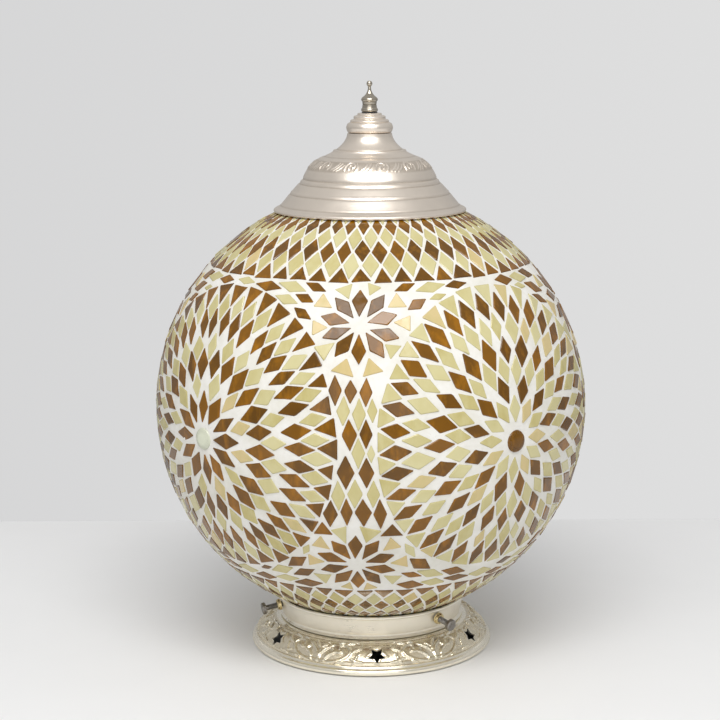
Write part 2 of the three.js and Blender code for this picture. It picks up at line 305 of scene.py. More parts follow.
@dataclass
class Turning:
    """A piece of revolution, made from an outline that has its material on the left.

    A closed outline makes a ring or a sheet. An open one starts and ends on the axis and makes a solid.
    """

    name: str
    outline: np.ndarray
    around: int = 96
    closed: bool = True
    relief: Optional[Relief] = None
    relief_rows: int = 0  # how many points at the outline's start carry the relief; 0 for all
    ripple: Optional[Ripple] = None
    place: Matrix = field(default_factory=lambda: Matrix.Identity(4))

    def build(self) -> bpy.types.Object:
        """Makes the mesh and its object."""
        rows = len(self.outline)
        azimuth = np.arange(self.around) * 360 / self.around
        normals = outline_normals(self.outline, self.closed)
        raised = np.zeros((rows, self.around))
        hollow = np.zeros_like(raised)
        if self.relief:
            worked = self.relief_rows or rows
            raised[:worked], hollow[:worked] = self.relief.heights(azimuth, self.outline[:worked])
        if self.ripple:
            raised += self.ripple(azimuth[None, :], self.outline[:, 1:2])
        radius = self.outline[:, :1] + normals[:, :1] * raised
        height = self.outline[:, 1:] + normals[:, 1:] * raised
        turn = azimuth[None, :] * DEGREE
        grid = np.stack([radius * np.sin(turn), -radius * np.cos(turn), height + 0 * turn], axis=2)
        if self.relief and self.relief.unevenness:
            dents = self.relief.dents(grid.reshape(-1, 3)).reshape(rows, self.around)
            out = np.stack(
                [normals[:, :1] * np.sin(turn), -normals[:, :1] * np.cos(turn), normals[:, 1:] + 0 * turn],
                axis=2
            )
            grid += out * dents[:, :, None]
        mesh = self.skin(grid)
        mesh.transform(self.place)
        store(mesh, "hollow", "POINT", self.flat(hollow))
        soften(mesh)
        return object_of(self.name, mesh)

    def on_axis(self) -> tuple[bool, bool]:
        """Whether an open outline starts, and ends, on the axis."""
        if self.closed:
            return False, False
        return self.outline[0, 0] < 1e-6, self.outline[-1, 0] < 1e-6

    def flat(self, grid: np.ndarray) -> np.ndarray:
        """The grid's values in the mesh's order, with one value for each end on the axis."""
        first, last = self.on_axis()
        body = grid[int(first) : len(grid) - int(last)].reshape(-1, *grid.shape[2:])
        ends = ([grid[0, :1]] if first else []) + ([grid[-1, :1]] if last else [])
        return np.concatenate([body, *ends]) if ends else body

    def skin(self, grid: np.ndarray) -> bpy.types.Mesh:
        """Joins a grid of points into faces that look outwards."""
        first, last = self.on_axis()
        rows = len(grid) - int(first) - int(last)
        place = np.arange(rows * self.around).reshape(rows, self.around)
        below, above = (place, np.roll(place, -1, axis=0)) if self.closed else (place[:-1], place[1:])
        quads = np.stack([below, np.roll(below, -1, axis=1), np.roll(above, -1, axis=1), above], axis=-1)
        faces = quads.reshape(-1, 4).tolist()
        pole = rows * self.around
        if first:
            faces += [(pole, b, a) for a, b in zip(place[0], np.roll(place[0], -1))]
            pole += 1
        if last:
            faces += [(a, b, pole) for a, b in zip(place[-1], np.roll(place[-1], -1))]
        mesh = bpy.data.meshes.new(self.name)
        mesh.from_pydata((self.flat(grid) * MM).tolist(), [], faces)
        return mesh


def carve(piece: bpy.types.Object, tools: Sequence[bpy.types.Object]) -> None:
    """Cuts each tool's shape out of a piece and removes the tools."""
    for tool in tools:
        cut = piece.modifiers.new("cut", "BOOLEAN")
        cut.operation, cut.solver, cut.object = "DIFFERENCE", "EXACT", tool
    seen = piece.evaluated_get(bpy.context.evaluated_depsgraph_get())
    made = bpy.data.meshes.new_from_object(seen)
    piece.modifiers.clear()
    old, piece.data = piece.data, made
    bpy.data.meshes.remove(old)
    for tool in tools:
        bpy.data.objects.remove(tool)
    soften(piece.data)


def prism(name: str, corners: Sequence[Point], depth: float, place: Matrix) -> bpy.types.Object:
    """A straight-sided tool with the given corners, half of its depth on each side of the place's face."""
    count = len(corners)
    points = [(x * MM, y * MM, side * depth * MM / 2) for side in (-1, 1) for x, y in corners]
    sides = [(i, (i + 1) % count, (i + 1) % count + count, i + count) for i in range(count)]
    mesh = bpy.data.meshes.new(name)
    mesh.from_pydata(points, [], [tuple(reversed(range(count))), tuple(range(count, 2 * count)), *sides])
    mesh.transform(place)
    return object_of(name, mesh)


def basis(across: Vector, up: Vector, out: Vector, origin: Vector) -> Matrix:
    """A place with its axes along three directions, and its origin given in millimetres."""
    place = Matrix((across, up, out)).transposed().to_4x4()
    place.translation = origin * MM
    return place


def star_corners(radius: float, waist: float) -> list[Point]:
    """The ten corners of a five-pointed star with one point down."""
    corners = []
    for i in range(10):
        reach, turn = radius * (waist if i % 2 else 1), (i * 36 - 90) * DEGREE
        corners.append((reach * math.cos(turn), reach * math.sin(turn)))
    return corners


# --------------------------------------------------------------------------------------------------
# Node boards and shared effects


class Board:
    """Places and wires the nodes of a material or of a group."""

    def __init__(self, tree: bpy.types.NodeTree) -> None:
        """Starts on an empty tree."""
        self.tree = tree

    def node(self, kind: str, inputs: Optional[dict[Union[str, int], Input]] = None, **settings: object):
        """Places one node.

        Args:
            kind: The node's type, without its ShaderNode prefix.
            inputs: Values or sockets for the node's inputs.
            settings: Properties of the node.

        Returns:
            The node.
        """
        made = self.tree.nodes.new("ShaderNode" + kind)
        for name, value in settings.items():
            setattr(made, name, value)
        for key, value in (inputs or {}).items():
            self.feed(made.inputs[key], value)
        return made

    def feed(self, socket: Socket, value: Input) -> None:
        """Wires a socket, or sets its value."""
        if isinstance(value, bpy.types.NodeSocket):
            self.tree.links.new(value, socket)
        elif socket.type == "RGBA":
            socket.default_value = (*value, 1.0) if len(value) == 3 else value
        else:
            socket.default_value = value

    def math(self, operation: str, *values: Input) -> Socket:
        """The result of one sum."""
        return self.node("Math", dict(enumerate(values)), operation=operation).outputs[0]

    def plus(self, a: Input, b: Input) -> Socket:
        """The sum of two values."""
        return self.math("ADD", a, b)

    def times(self, a: Input, b: Input) -> Socket:
        """The product of two values."""
        return self.math("MULTIPLY", a, b)

    def blend(self, share: Input, a: Input, b: Input) -> Socket:
        """Colour b laid over colour a."""
        return self.node("Mix", {0: share, 6: a, 7: b}, data_type="RGBA").outputs[2]

    def spread(
        self, value: Input, low: float, high: float, to_low: float = 0.0, to_high: float = 1.0
    ) -> Socket:
        """A value stretched from one range to another, and kept within it."""
        inputs = {0: value, 1: low, 2: high, 3: to_low, 4: to_high}
        return self.node("MapRange", inputs).outputs[0]

    def speckle(self, where: Input, scale: float, detail: float = 3.0, rough: float = 0.55) -> Socket:
        """Cloudy noise, around one half."""
        inputs = {"Vector": where, "Scale": scale, "Detail": detail, "Roughness": rough}
        return self.node("TexNoise", inputs).outputs[0]

    def kept(self, name: str) -> Socket:
        """A number that the mesh keeps."""
        return self.node("Attribute", attribute_name=name).outputs["Fac"]

    def place_on_piece(self) -> Socket:
        """Where a point is on the piece."""
        return self.node("TexCoord").outputs["Object"]

    def bump(
        self, height: Socket, depth: float, strength: float = 1.0, under: Optional[Socket] = None
    ) -> Socket:
        """A normal from a height, with its depth in millimetres."""
        inputs = {"Height": height, "Distance": depth * MM, "Strength": strength}
        if under is not None:
            inputs["Normal"] = under
        return self.node("Bump", inputs).outputs[0]


class Effect(Enum):
    """The shared effects. Each is a node group that is made once."""

    MOTTLE = "mottle"
    TURNED_LINES = "turned_lines"
    EDGE_WEAR = "edge_wear"
    FINE_GRAIN = "fine_grain"


class Effects:
    """Makes the shared effects' groups and places them on boards."""

    def __init__(self) -> None:
        """Builds every group."""
        self.groups = {
            Effect.MOTTLE: self.mottle(),
            Effect.TURNED_LINES: self.turned_lines(),
            Effect.EDGE_WEAR: self.edge_wear(),
            Effect.FINE_GRAIN: self.fine_grain(),
        }

    def start(
        self, effect: Effect, inputs: dict[str, float]
    ) -> tuple[Board, dict[str, Socket], bpy.types.Node]:
        """Starts a group.

        Args:
            effect: The effect that the group makes.
            inputs: The group's inputs, with the values that they start from.

        Returns:
            The group's board, its inputs as sockets, and its output node, which has one socket named Mask.
        """
        tree = bpy.data.node_groups.new(effect.value, "ShaderNodeTree")
        for name, value in inputs.items():
            socket = tree.interface.new_socket(name, in_out="INPUT", socket_type="NodeSocketFloat")
            socket.default_value = value
        tree.interface.new_socket("Mask", in_out="OUTPUT", socket_type="NodeSocketFloat")
        board = Board(tree)
        entry, leave = tree.nodes.new("NodeGroupInput"), tree.nodes.new("NodeGroupOutput")
        return board, {name: entry.outputs[name] for name in inputs}, leave

    def mottle(self) -> bpy.types.NodeTree:
        """Soft cloudy patches over a finer cloud, such as handling leaves on metal."""
        board, inputs, leave = self.start(Effect.MOTTLE, {"Scale": 30.0, "Contrast": 1.0})
        where = board.place_on_piece()
        broad = board.node(
            "TexNoise", {"Vector": where, "Scale": inputs["Scale"], "Detail": 4.0}
        ).outputs[0]
        fine_scale = board.times(inputs["Scale"], 6.3)
        fine = board.node("TexNoise", {"Vector": where, "Scale": fine_scale, "Detail": 3.0}).outputs[0]
        mixed = board.plus(board.times(broad, 0.7), board.times(fine, 0.3))
        centred = board.times(board.math("SUBTRACT", mixed, 0.5), inputs["Contrast"])
        board.feed(leave.inputs["Mask"], board.plus(board.times(centred, 2.2), 0.5))
        return board.tree

    def turned_lines(self) -> bpy.types.NodeTree:
        """Fine lines that the spinning tool leaves round the lamp's axis."""
        board, inputs, leave = self.start(Effect.TURNED_LINES, {"Lines": 900.0, "Drift": 0.2})
        split = board.node("SeparateXYZ", {0: board.place_on_piece()})
        reach = board.math("SQRT", board.plus(board.times(split.outputs[0], split.outputs[0]),
                                              board.times(split.outputs[1], split.outputs[1])))
        slope = board.plus(board.times(reach, 0.8), split.outputs[2])
        wander = board.node(
            "TexNoise", {"Vector": board.place_on_piece(), "Scale": 18.0, "Detail": 1.0}
        ).outputs[0]
        drift = board.times(board.times(wander, inputs["Drift"]), MM)
        where = board.node("CombineXYZ", {0: board.plus(slope, drift)}).outputs[0]
        lines = board.node(
            "TexNoise", {"Vector": where, "Scale": inputs["Lines"], "Detail": 5.0, "Roughness": 0.7}
        )
        board.feed(leave.inputs["Mask"], lines.outputs[0])
        return board.tree

    def edge_wear(self) -> bpy.types.NodeTree:
        """Edges rubbed bright, broken up by a fine cloud."""
        board, inputs, leave = self.start(Effect.EDGE_WEAR, {"Reach": 0.06, "Break": 90.0})
        sharp = board.node("NewGeometry").outputs["Pointiness"]
        low = board.plus(0.5, board.times(inputs["Reach"], 0.25))
        high = board.plus(0.5, inputs["Reach"])
        ridge = board.node("MapRange", {0: sharp, 1: low, 2: high}).outputs[0]
        cloud = board.node(
            "TexNoise", {"Vector": board.place_on_piece(), "Scale": inputs["Break"]}
        ).outputs[0]
        board.feed(leave.inputs["Mask"], board.times(ridge, board.spread(cloud, 0.35, 0.6, 0.3, 1.0)))
        return board.tree

    def fine_grain(self) -> bpy.types.NodeTree:
        """Tiny even grains, such as cast metal, plaster and moulded plastic have."""
        board, inputs, leave = self.start(Effect.FINE_GRAIN, {"Scale": 1400.0, "Softness": 0.5})
        where = board.place_on_piece()
        grains = board.node("TexVoronoi", {"Vector": where, "Scale": inputs["Scale"]}).outputs["Distance"]
        cloud_scale = board.times(inputs["Scale"], 0.4)
        cloud = board.node("TexNoise", {"Vector": where, "Scale": cloud_scale, "Detail": 3.0}).outputs[0]
        kept = board.math("SUBTRACT", 1.0, inputs["Softness"])
        both = board.plus(board.times(grains, kept), board.times(cloud, inputs["Softness"]))
        board.feed(leave.inputs["Mask"], both)
        return board.tree

    def mask(self, board: Board, effect: Effect, **inputs: float) -> Socket:
        """Places an effect on a board, with values of its own, and gives its mask."""
        placed = board.node("Group")
        placed.node_tree = self.groups[effect]
        for name, value in inputs.items():
            placed.inputs[name].default_value = value
        return placed.outputs["Mask"]


EFFECTS = Effects()


# --------------------------------------------------------------------------------------------------
# Finishes


class Shader(Board):
    """A material with its Principled shader and an output."""

    def __init__(self, name: str) -> None:
        """Starts a material."""
        self.material = bpy.data.materials.new(name)
        self.material.use_nodes = True
        super().__init__(self.material.node_tree)
        self.tree.nodes.clear()
        self.surface = self.node("BsdfPrincipled")
        self.node("OutputMaterial", {"Surface": self.surface.outputs[0]})

    def set(self, **sockets: Input) -> None:
        """Sets or wires sockets of the Principled shader, with _ for a space in a name."""
        for name, value in sockets.items():
            self.feed(self.surface.inputs[name.replace("_", " ")], value)


@dataclass(frozen=True)
class SpunMetal:
    """Champagne-coloured plated metal: spun, embossed, lacquered, and toned darker in its hollows."""

    name: str
    colour: Colour
    hollow_colour: Colour
    roughness: float = 0.26
    hollow_roughness: float = 0.42
    lines: float = 0.35
    metallic: float = 1.0

    def material(self) -> bpy.types.Material:
        """Makes the material."""
        shader = Shader(self.name)
        cloud = EFFECTS.mask(shader, Effect.MOTTLE, Scale=26.0, Contrast=1.0)
        spots = EFFECTS.mask(shader, Effect.MOTTLE, Scale=210.0, Contrast=1.2)
        lines = EFFECTS.mask(shader, Effect.TURNED_LINES, Lines=1500.0, Drift=0.5)
        wear = EFFECTS.mask(shader, Effect.EDGE_WEAR, Reach=0.05, Break=120.0)
        hollow = shader.spread(shader.kept("hollow"), 0.05, 0.9)
        toned = tuple(0.94 * c for c in self.colour)
        base = shader.blend(shader.spread(cloud, 0.2, 0.8), toned, self.colour)
        patina = shader.times(hollow, shader.spread(spots, 0.25, 0.75, 0.7, 1.0))
        base = shader.blend(patina, base, self.hollow_colour)
        base = shader.blend(shader.times(wear, 0.5), base, tuple(min(1.0, 1.12 * c) for c in self.colour))
        rough = shader.plus(self.roughness, shader.spread(cloud, 0.2, 0.8, -0.03, 0.04))
        rough = shader.plus(rough, shader.times(hollow, self.hollow_roughness - self.roughness))
        rough = shader.plus(rough, shader.spread(lines, 0.3, 0.7, -0.03, 0.03))
        grooves = shader.bump(lines, 0.02, self.lines)
        normal = shader.bump(spots, 0.012, 0.4, grooves)
        shader.set(Base_Color=base, Roughness=rough, Normal=normal, Metallic=self.metallic)
        return shader.material


@dataclass(frozen=True)
class PlainMetal:
    """Turned or pressed metal for screws, nuts and fittings."""

    name: str
    colour: Colour
    worn_colour: Colour
    roughness: float = 0.35
    grain: float = 700.0

    def material(self) -> bpy.types.Material:
        """Makes the material."""
        shader = Shader(self.name)
        cloud = EFFECTS.mask(shader, Effect.MOTTLE, Scale=160.0, Contrast=1.2)
        grain = EFFECTS.mask(shader, Effect.FINE_GRAIN, Scale=self.grain, Softness=0.6)
        wear = EFFECTS.mask(shader, Effect.EDGE_WEAR, Reach=0.06, Break=300.0)
        base = shader.blend(
            shader.spread(cloud, 0.2, 0.8), tuple(0.8 * c for c in self.colour), self.colour
        )
        base = shader.blend(wear, base, self.worn_colour)
        rough = shader.plus(self.roughness, shader.spread(cloud, 0.2, 0.8, -0.07, 0.09))
        shader.set(Base_Color=base, Roughness=rough, Normal=shader.bump(grain, 0.02, 0.5), Metallic=1.0)
        return shader.material


class Hue(Enum):
    """The colours of glass in the coat, as the number that a piece keeps."""

    BROWN = 0.0
    PEACH = 0.35
    CREAM = 0.65
    PALE = 1.0


@dataclass(frozen=True)
class SetGlass:
    """Glass pieces, streaked and a little wavy, each with a tint of its own; the amber in the brown streaks is
    partly painted glint, and the bevelled rims are rougher and darkened with painted shade.
    """

    name: str
    brown: Colour = (0.205, 0.083, 0.001)
    brown_dark: Colour = (0.110, 0.046, 0.001)
    amber_streak_glint: Colour = (0.42, 0.17, 0.002)
    peach: Colour = (0.62, 0.48, 0.23)
    cream: Colour = (0.50, 0.43, 0.175)
    cream_pale: Colour = (0.60, 0.55, 0.30)
    pale: Colour = (0.66, 0.68, 0.54)

    def material(self) -> bpy.types.Material:
        """Makes the material."""
        shader = Shader(self.name)
        tint, hue = shader.kept("tint"), shader.kept("hue")
        away = shader.times(tint, 3.7)
        shift = shader.node("CombineXYZ", {0: away, 1: shader.times(away, 1.7), 2: away}).outputs[0]
        where = shader.node(
            "VectorMath", {0: shader.place_on_piece(), 1: shift}, operation="ADD"
        ).outputs[0]
        bands = shader.node("Mapping", {"Vector": where, "Scale": (1.0, 1.0, 0.35)}).outputs[0]
        streak = shader.speckle(bands, 130.0, 4.0, 0.62)
        cloud = shader.speckle(where, 60.0, 2.0)
        seed = shader.speckle(where, 900.0, 2.0)
        own = shader.spread(shader.plus(tint, shader.spread(cloud, 0.3, 0.7, -0.25, 0.25)), 0.0, 1.0)
        brown = shader.blend(own, self.brown_dark, self.brown)
        # Amber streaks over the brown: partly streaking in the glass, partly painted glints.
        brown = shader.blend(shader.spread(streak, 0.5, 0.74, 0.0, 0.6), brown, self.amber_streak_glint)
        cream = shader.blend(own, self.cream, self.cream_pale)
        cream = shader.blend(shader.spread(streak, 0.42, 0.7, 0.0, 0.6), cream, self.cream_pale)
        peach = shader.blend(shader.spread(streak, 0.4, 0.7, 0.0, 0.6), self.peach, self.cream)
        light = shader.blend(shader.math("GREATER_THAN", hue, 0.5), peach, cream)
        light = shader.blend(shader.math("GREATER_THAN", hue, 0.8), light, self.pale)
        colour = shader.blend(shader.math("GREATER_THAN", hue, 0.2), brown, light)
        # Painted shade: the bevelled rim, broken up a little, is darkened towards black where the bevel would
        # catch no light; the rim is also made rougher.
        edge = shader.times(shader.kept("rim"), shader.spread(seed, 0.35, 0.6, 0.35, 0.8))
        colour = shader.blend(shader.times(edge, 0.45), colour, shader.blend(0.55, colour, (0.0, 0.0, 0.0)))
        rough = shader.plus(shader.spread(cloud, 0.3, 0.7, 0.06, 0.12), shader.times(edge, 0.35))
        waves = shader.bump(cloud, 0.25, 0.8)
        normal = shader.bump(streak, 0.03, 0.5, waves)
        shader.set(Base_Color=colour, Roughness=rough, Normal=normal, Specular_IOR_Level=0.4, IOR=1.52)
        return shader.material


@dataclass(frozen=True)
class GroutFinish:
    """Warm white grout, sanded flush, with fine pits and a little staining."""

    name: str
    colour: Colour = (0.79, 0.775, 0.735)
    stained: Colour = (0.70, 0.68, 0.61)

    def material(self) -> bpy.types.Material:
        """Makes the material."""
        shader = Shader(self.name)
        cloud = EFFECTS.mask(shader, Effect.MOTTLE, Scale=40.0, Contrast=1.1)
        grain = EFFECTS.mask(shader, Effect.FINE_GRAIN, Scale=1600.0, Softness=0.45)
        pits = shader.spread(shader.speckle(shader.place_on_piece(), 520.0, 2.0), 0.62, 0.72)
        base = shader.blend(shader.spread(cloud, 0.25, 0.85), self.colour, self.stained)
        base = shader.blend(shader.times(pits, 0.35), base, self.stained)
        rough = shader.spread(grain, 0.2, 0.7, 0.72, 0.92)
        hole = shader.math("SUBTRACT", grain, shader.times(pits, 1.5))
        shader.set(
            Base_Color=base, Roughness=rough, Normal=shader.bump(hole, 0.05, 0.7),
            Specular_IOR_Level=0.35
        )
        return shader.material


@dataclass(frozen=True)
class ClearGlass:
    """The globe's blown glass: clear and glossy, with slight waves and a few seeds."""

    name: str
    colour: Colour = (0.97, 0.98, 0.96)

    def material(self) -> bpy.types.Material:
        """Makes the material."""
        shader = Shader(self.name)
        waves = EFFECTS.mask(shader, Effect.MOTTLE, Scale=14.0, Contrast=0.6)
        seeds = shader.spread(shader.speckle(shader.place_on_piece(), 340.0, 1.0), 0.74, 0.8)
        base = shader.blend(seeds, self.colour, tuple(0.85 * c for c in self.colour))
        rough = shader.spread(waves, 0.2, 0.8, 0.02, 0.06)
        normal = shader.bump(waves, 0.2, 0.4)
        shader.set(
            Base_Color=base, Roughness=rough, Normal=normal, Transmission_Weight=1.0, IOR=1.5,
            Metallic=0.0
        )
        return shader.material


@dataclass(frozen=True)
class Moulded:
    """Moulded or pressed matter: plastic, rubber, glazed ceramic or an opal cover."""

    name: str
    colour: Colour
    shade: Colour
    roughness: float = 0.4
    grain: float = 900.0
    depth: float = 0.03
    coat: float = 0.0

    def material(self) -> bpy.types.Material:
        """Makes the material."""
        shader = Shader(self.name)
        cloud = EFFECTS.mask(shader, Effect.MOTTLE, Scale=70.0, Contrast=1.0)
        grain = EFFECTS.mask(shader, Effect.FINE_GRAIN, Scale=self.grain, Softness=0.5)
        wear = EFFECTS.mask(shader, Effect.EDGE_WEAR, Reach=0.08, Break=200.0)
        base = shader.blend(shader.spread(cloud, 0.25, 0.9), self.colour, self.shade)
        base = shader.blend(shader.times(wear, 0.3), base, tuple(min(1.0, 1.2 * c) for c in self.colour))
        rough = shader.plus(self.roughness, shader.spread(cloud, 0.2, 0.8, -0.05, 0.08))
        shader.set(
            Base_Color=base, Roughness=rough, Normal=shader.bump(grain, self.depth, 0.6), Metallic=0.0
        )
        shader.set(Coat_Weight=self.coat, Coat_Roughness=0.08)
        return shader.material


@dataclass(frozen=True)
class Felt:
    """Dark felt with short matted fibres."""

    name: str
    colour: Colour = (0.035, 0.031, 0.028)
    lint: Colour = (0.12, 0.11, 0.10)

    def material(self) -> bpy.types.Material:
        """Makes the material."""
        shader = Shader(self.name)
        where = shader.place_on_piece()
        fibres = shader.node(
            "TexWave", {"Vector": where, "Scale": 420.0, "Distortion": 14.0, "Detail": 4.0}
        ).outputs[1]
        cloud = shader.speckle(where, 500.0, 4.0, 0.7)
        both = shader.times(fibres, cloud)
        base = shader.blend(shader.spread(both, 0.3, 0.6), self.colour, self.lint)
        normal = shader.bump(both, 0.15, 0.8)
        shader.set(Base_Color=base, Roughness=0.95, Normal=normal, Sheen_Weight=0.4, Sheen_Roughness=0.5)
        return shader.material


class Finish(Enum):
    """Every finish on the lamp."""

    CHAMPAGNE = SpunMetal(
        "champagne_plated_metal", (0.96, 0.90, 0.76), (0.74, 0.66, 0.50), 0.17, 0.24, metallic=0.84
    )
    # A paler, less metallic copy of the champagne plating, used on the cup: painted light that brightens the
    # cup where the globe shades it.
    CUP_METAL = SpunMetal(
        "cup_plated_metal_lit_copy", (0.98, 0.93, 0.81), (0.84, 0.77, 0.62), 0.30, 0.36, metallic=0.6
    )
    CAP_METAL = SpunMetal(
        "cap_plated_metal", (0.88, 0.79, 0.69), (0.64, 0.56, 0.47), 0.33, 0.38, metallic=0.9
    )
    POLISHED = SpunMetal(
        "polished_finial_metal", (0.50, 0.45, 0.37), (0.20, 0.16, 0.11), 0.15, 0.2, lines=0.2
    )
    DARK_STEEL = PlainMetal("blackened_steel", (0.28, 0.26, 0.24), (0.50, 0.48, 0.45), 0.32)
    STEEL = PlainMetal("zinc_plated_steel", (0.56, 0.56, 0.57), (0.78, 0.78, 0.78), 0.36)
    BRASS = PlainMetal("turned_brass", (0.74, 0.60, 0.32), (0.88, 0.76, 0.48), 0.28)
    SET_GLASS = SetGlass("set_glass")
    MEDALLION_GLASS = SetGlass("medallion_glass", cream=(0.49, 0.42, 0.17), peach=(0.60, 0.48, 0.24))
    GROUT = GroutFinish("warm_white_grout")
    CLEAR_GLASS = ClearGlass("clear_blown_glass")
    HOLDER = Moulded(
        "ivory_holder_plastic", (0.80, 0.78, 0.70), (0.70, 0.67, 0.57), 0.34, 1100.0, 0.02, 0.2
    )
    CERAMIC = Moulded("glazed_steatite", (0.84, 0.83, 0.80), (0.74, 0.72, 0.66), 0.22, 700.0, 0.03, 0.6)
    RUBBER = Moulded("black_rubber", (0.022, 0.021, 0.02), (0.045, 0.043, 0.04), 0.75, 1500.0, 0.04)
    OPAL = Moulded("opal_bulb_cover", (0.88, 0.87, 0.83), (0.82, 0.80, 0.75), 0.32, 1800.0, 0.01, 0.15)
    FELT = Felt("dark_felt")

    def dress(self, piece: bpy.types.Object) -> None:
        """Puts the finish on a piece, in place of any other."""
        made = bpy.data.materials.get(self.value.name) or self.value.material()
        if not piece.data.materials:
            piece.data.materials.append(made)
        for slot in piece.material_slots:
            slot.material = made


def fit(piece: bpy.types.Object, finish: Finish, body: str, slot: str, *nodes: str) -> bpy.types.Object:
    """Dresses a piece and ties it to the frame.

    Args:
        piece: The piece, in place.
        finish: What it is made of.
        body: The body that it moves with.
        slot: The record's material slot; not used.
        nodes: The nodes that it stands for.

    Returns:
        The piece.
    """
    finish.dress(piece)
    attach(piece, body)
    if nodes:
        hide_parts(*nodes)
    LOG.info("%s rides on %s, %d faces", piece.name, body, len(piece.data.polygons))
    return piece


def turned(name: str, outline: np.ndarray, finish: Finish, body: str, slot: str, node: str, around: int = 72,
           ripple: Optional[Ripple] = None, place: Optional[Matrix] = None) -> None:
    """Makes one turned piece and ties it to the frame.

    Args:
        name: The piece's name.
        outline: Its outline. One that comes back to its start makes a ring, any other a solid.
        finish: What it is made of.
        body: The body that it moves with.
        slot: The record's material slot; not used.
        node: The node that it stands for.
        around: How many facets it has round its axis.
        ripple: What is worked into its wall.
        place: Where its axis stands, if it isn't the lamp's.
    """
    ring = bool((outline[0] == outline[-1]).all())
    turning = Turning(name, outline[:-1] if ring else outline, around, ring, ripple=ripple)
    turning.place = place or turning.place
    fit(turning.build(), finish, body, slot, node)


def dress_nodes(finish: Finish, *nodes: str) -> None:
    """Dresses model nodes that stay as they are."""
    for node in nodes:
        finish.dress(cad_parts[node])


# --------------------------------------------------------------------------------------------------
# The mosaic coat


class Cut(Enum):
    """The outlines of glass pieces, along their long axis."""

    DIAMOND = "diamond"
    TRIANGLE = "triangle"
    PETAL = "petal"
    ROUND = "round"

    def corners(self, length: float, width: float) -> np.ndarray:
        """The outline's corners, with the tip of a triangle or petal forwards."""
        half, side = length / 2, width / 2
        if self is Cut.DIAMOND:
            points = [(half, 0), (0, side), (-half, 0), (0, -side)]
        elif self is Cut.TRIANGLE:
            points = [(half, 0), (-half, side), (-half, -side)]
        elif self is Cut.PETAL:
            widest = -half + 0.58 * length
            points = [(half, 0), (widest, side), (-half, 0), (widest, -side)]
        else:
            turns = np.arange(24) * math.pi / 12
            points = [(half * math.cos(t), side * math.sin(t)) for t in turns]
        return np.array(points, float)


@dataclass
class Tessera:
    """One piece of glass: its place on the globe, its heading from east towards north, and its cut."""

    azimuth: float
    latitude: float
    heading: float
    length: float
    width: float
    cut: Cut
    hue: Hue
    zone: str

    def axes(self) -> tuple[np.ndarray, np.ndarray, np.ndarray]:
        """The directions along the piece, across it, and out of the globe."""
        out = np.array(outward(self.azimuth, self.latitude))
        turn = self.heading * DEGREE
        along = math.cos(turn) * np.array(eastward(self.azimuth))
        along = along + math.sin(turn) * np.array(northward(self.azimuth, self.latitude))
        return along, np.cross(out, along), out

    def outline(self, radius: float) -> np.ndarray:
        """The corners of the piece, in space, on the face of a globe."""
        along, across, out = self.axes()
        corners = self.cut.corners(self.length, self.width)
        return out * radius + corners[:, :1] * along + corners[:, 1:] * across


def gap_between(one: np.ndarray, other: np.ndarray) -> float:
    """The gap between two convex outlines, negative where they overlap."""
    widest = -1e9
    for mine, theirs in ((one, other), (other, one)):
        edges = np.roll(mine, -1, axis=0) - mine
        normals = np.stack([edges[:, 1], -edges[:, 0]], axis=1) / np.linalg.norm(edges, axis=1)[:, None]
        gaps = (theirs @ normals.T).min(axis=0) - (normals * mine).sum(axis=1)
        widest = max(widest, gaps.max())
    return widest


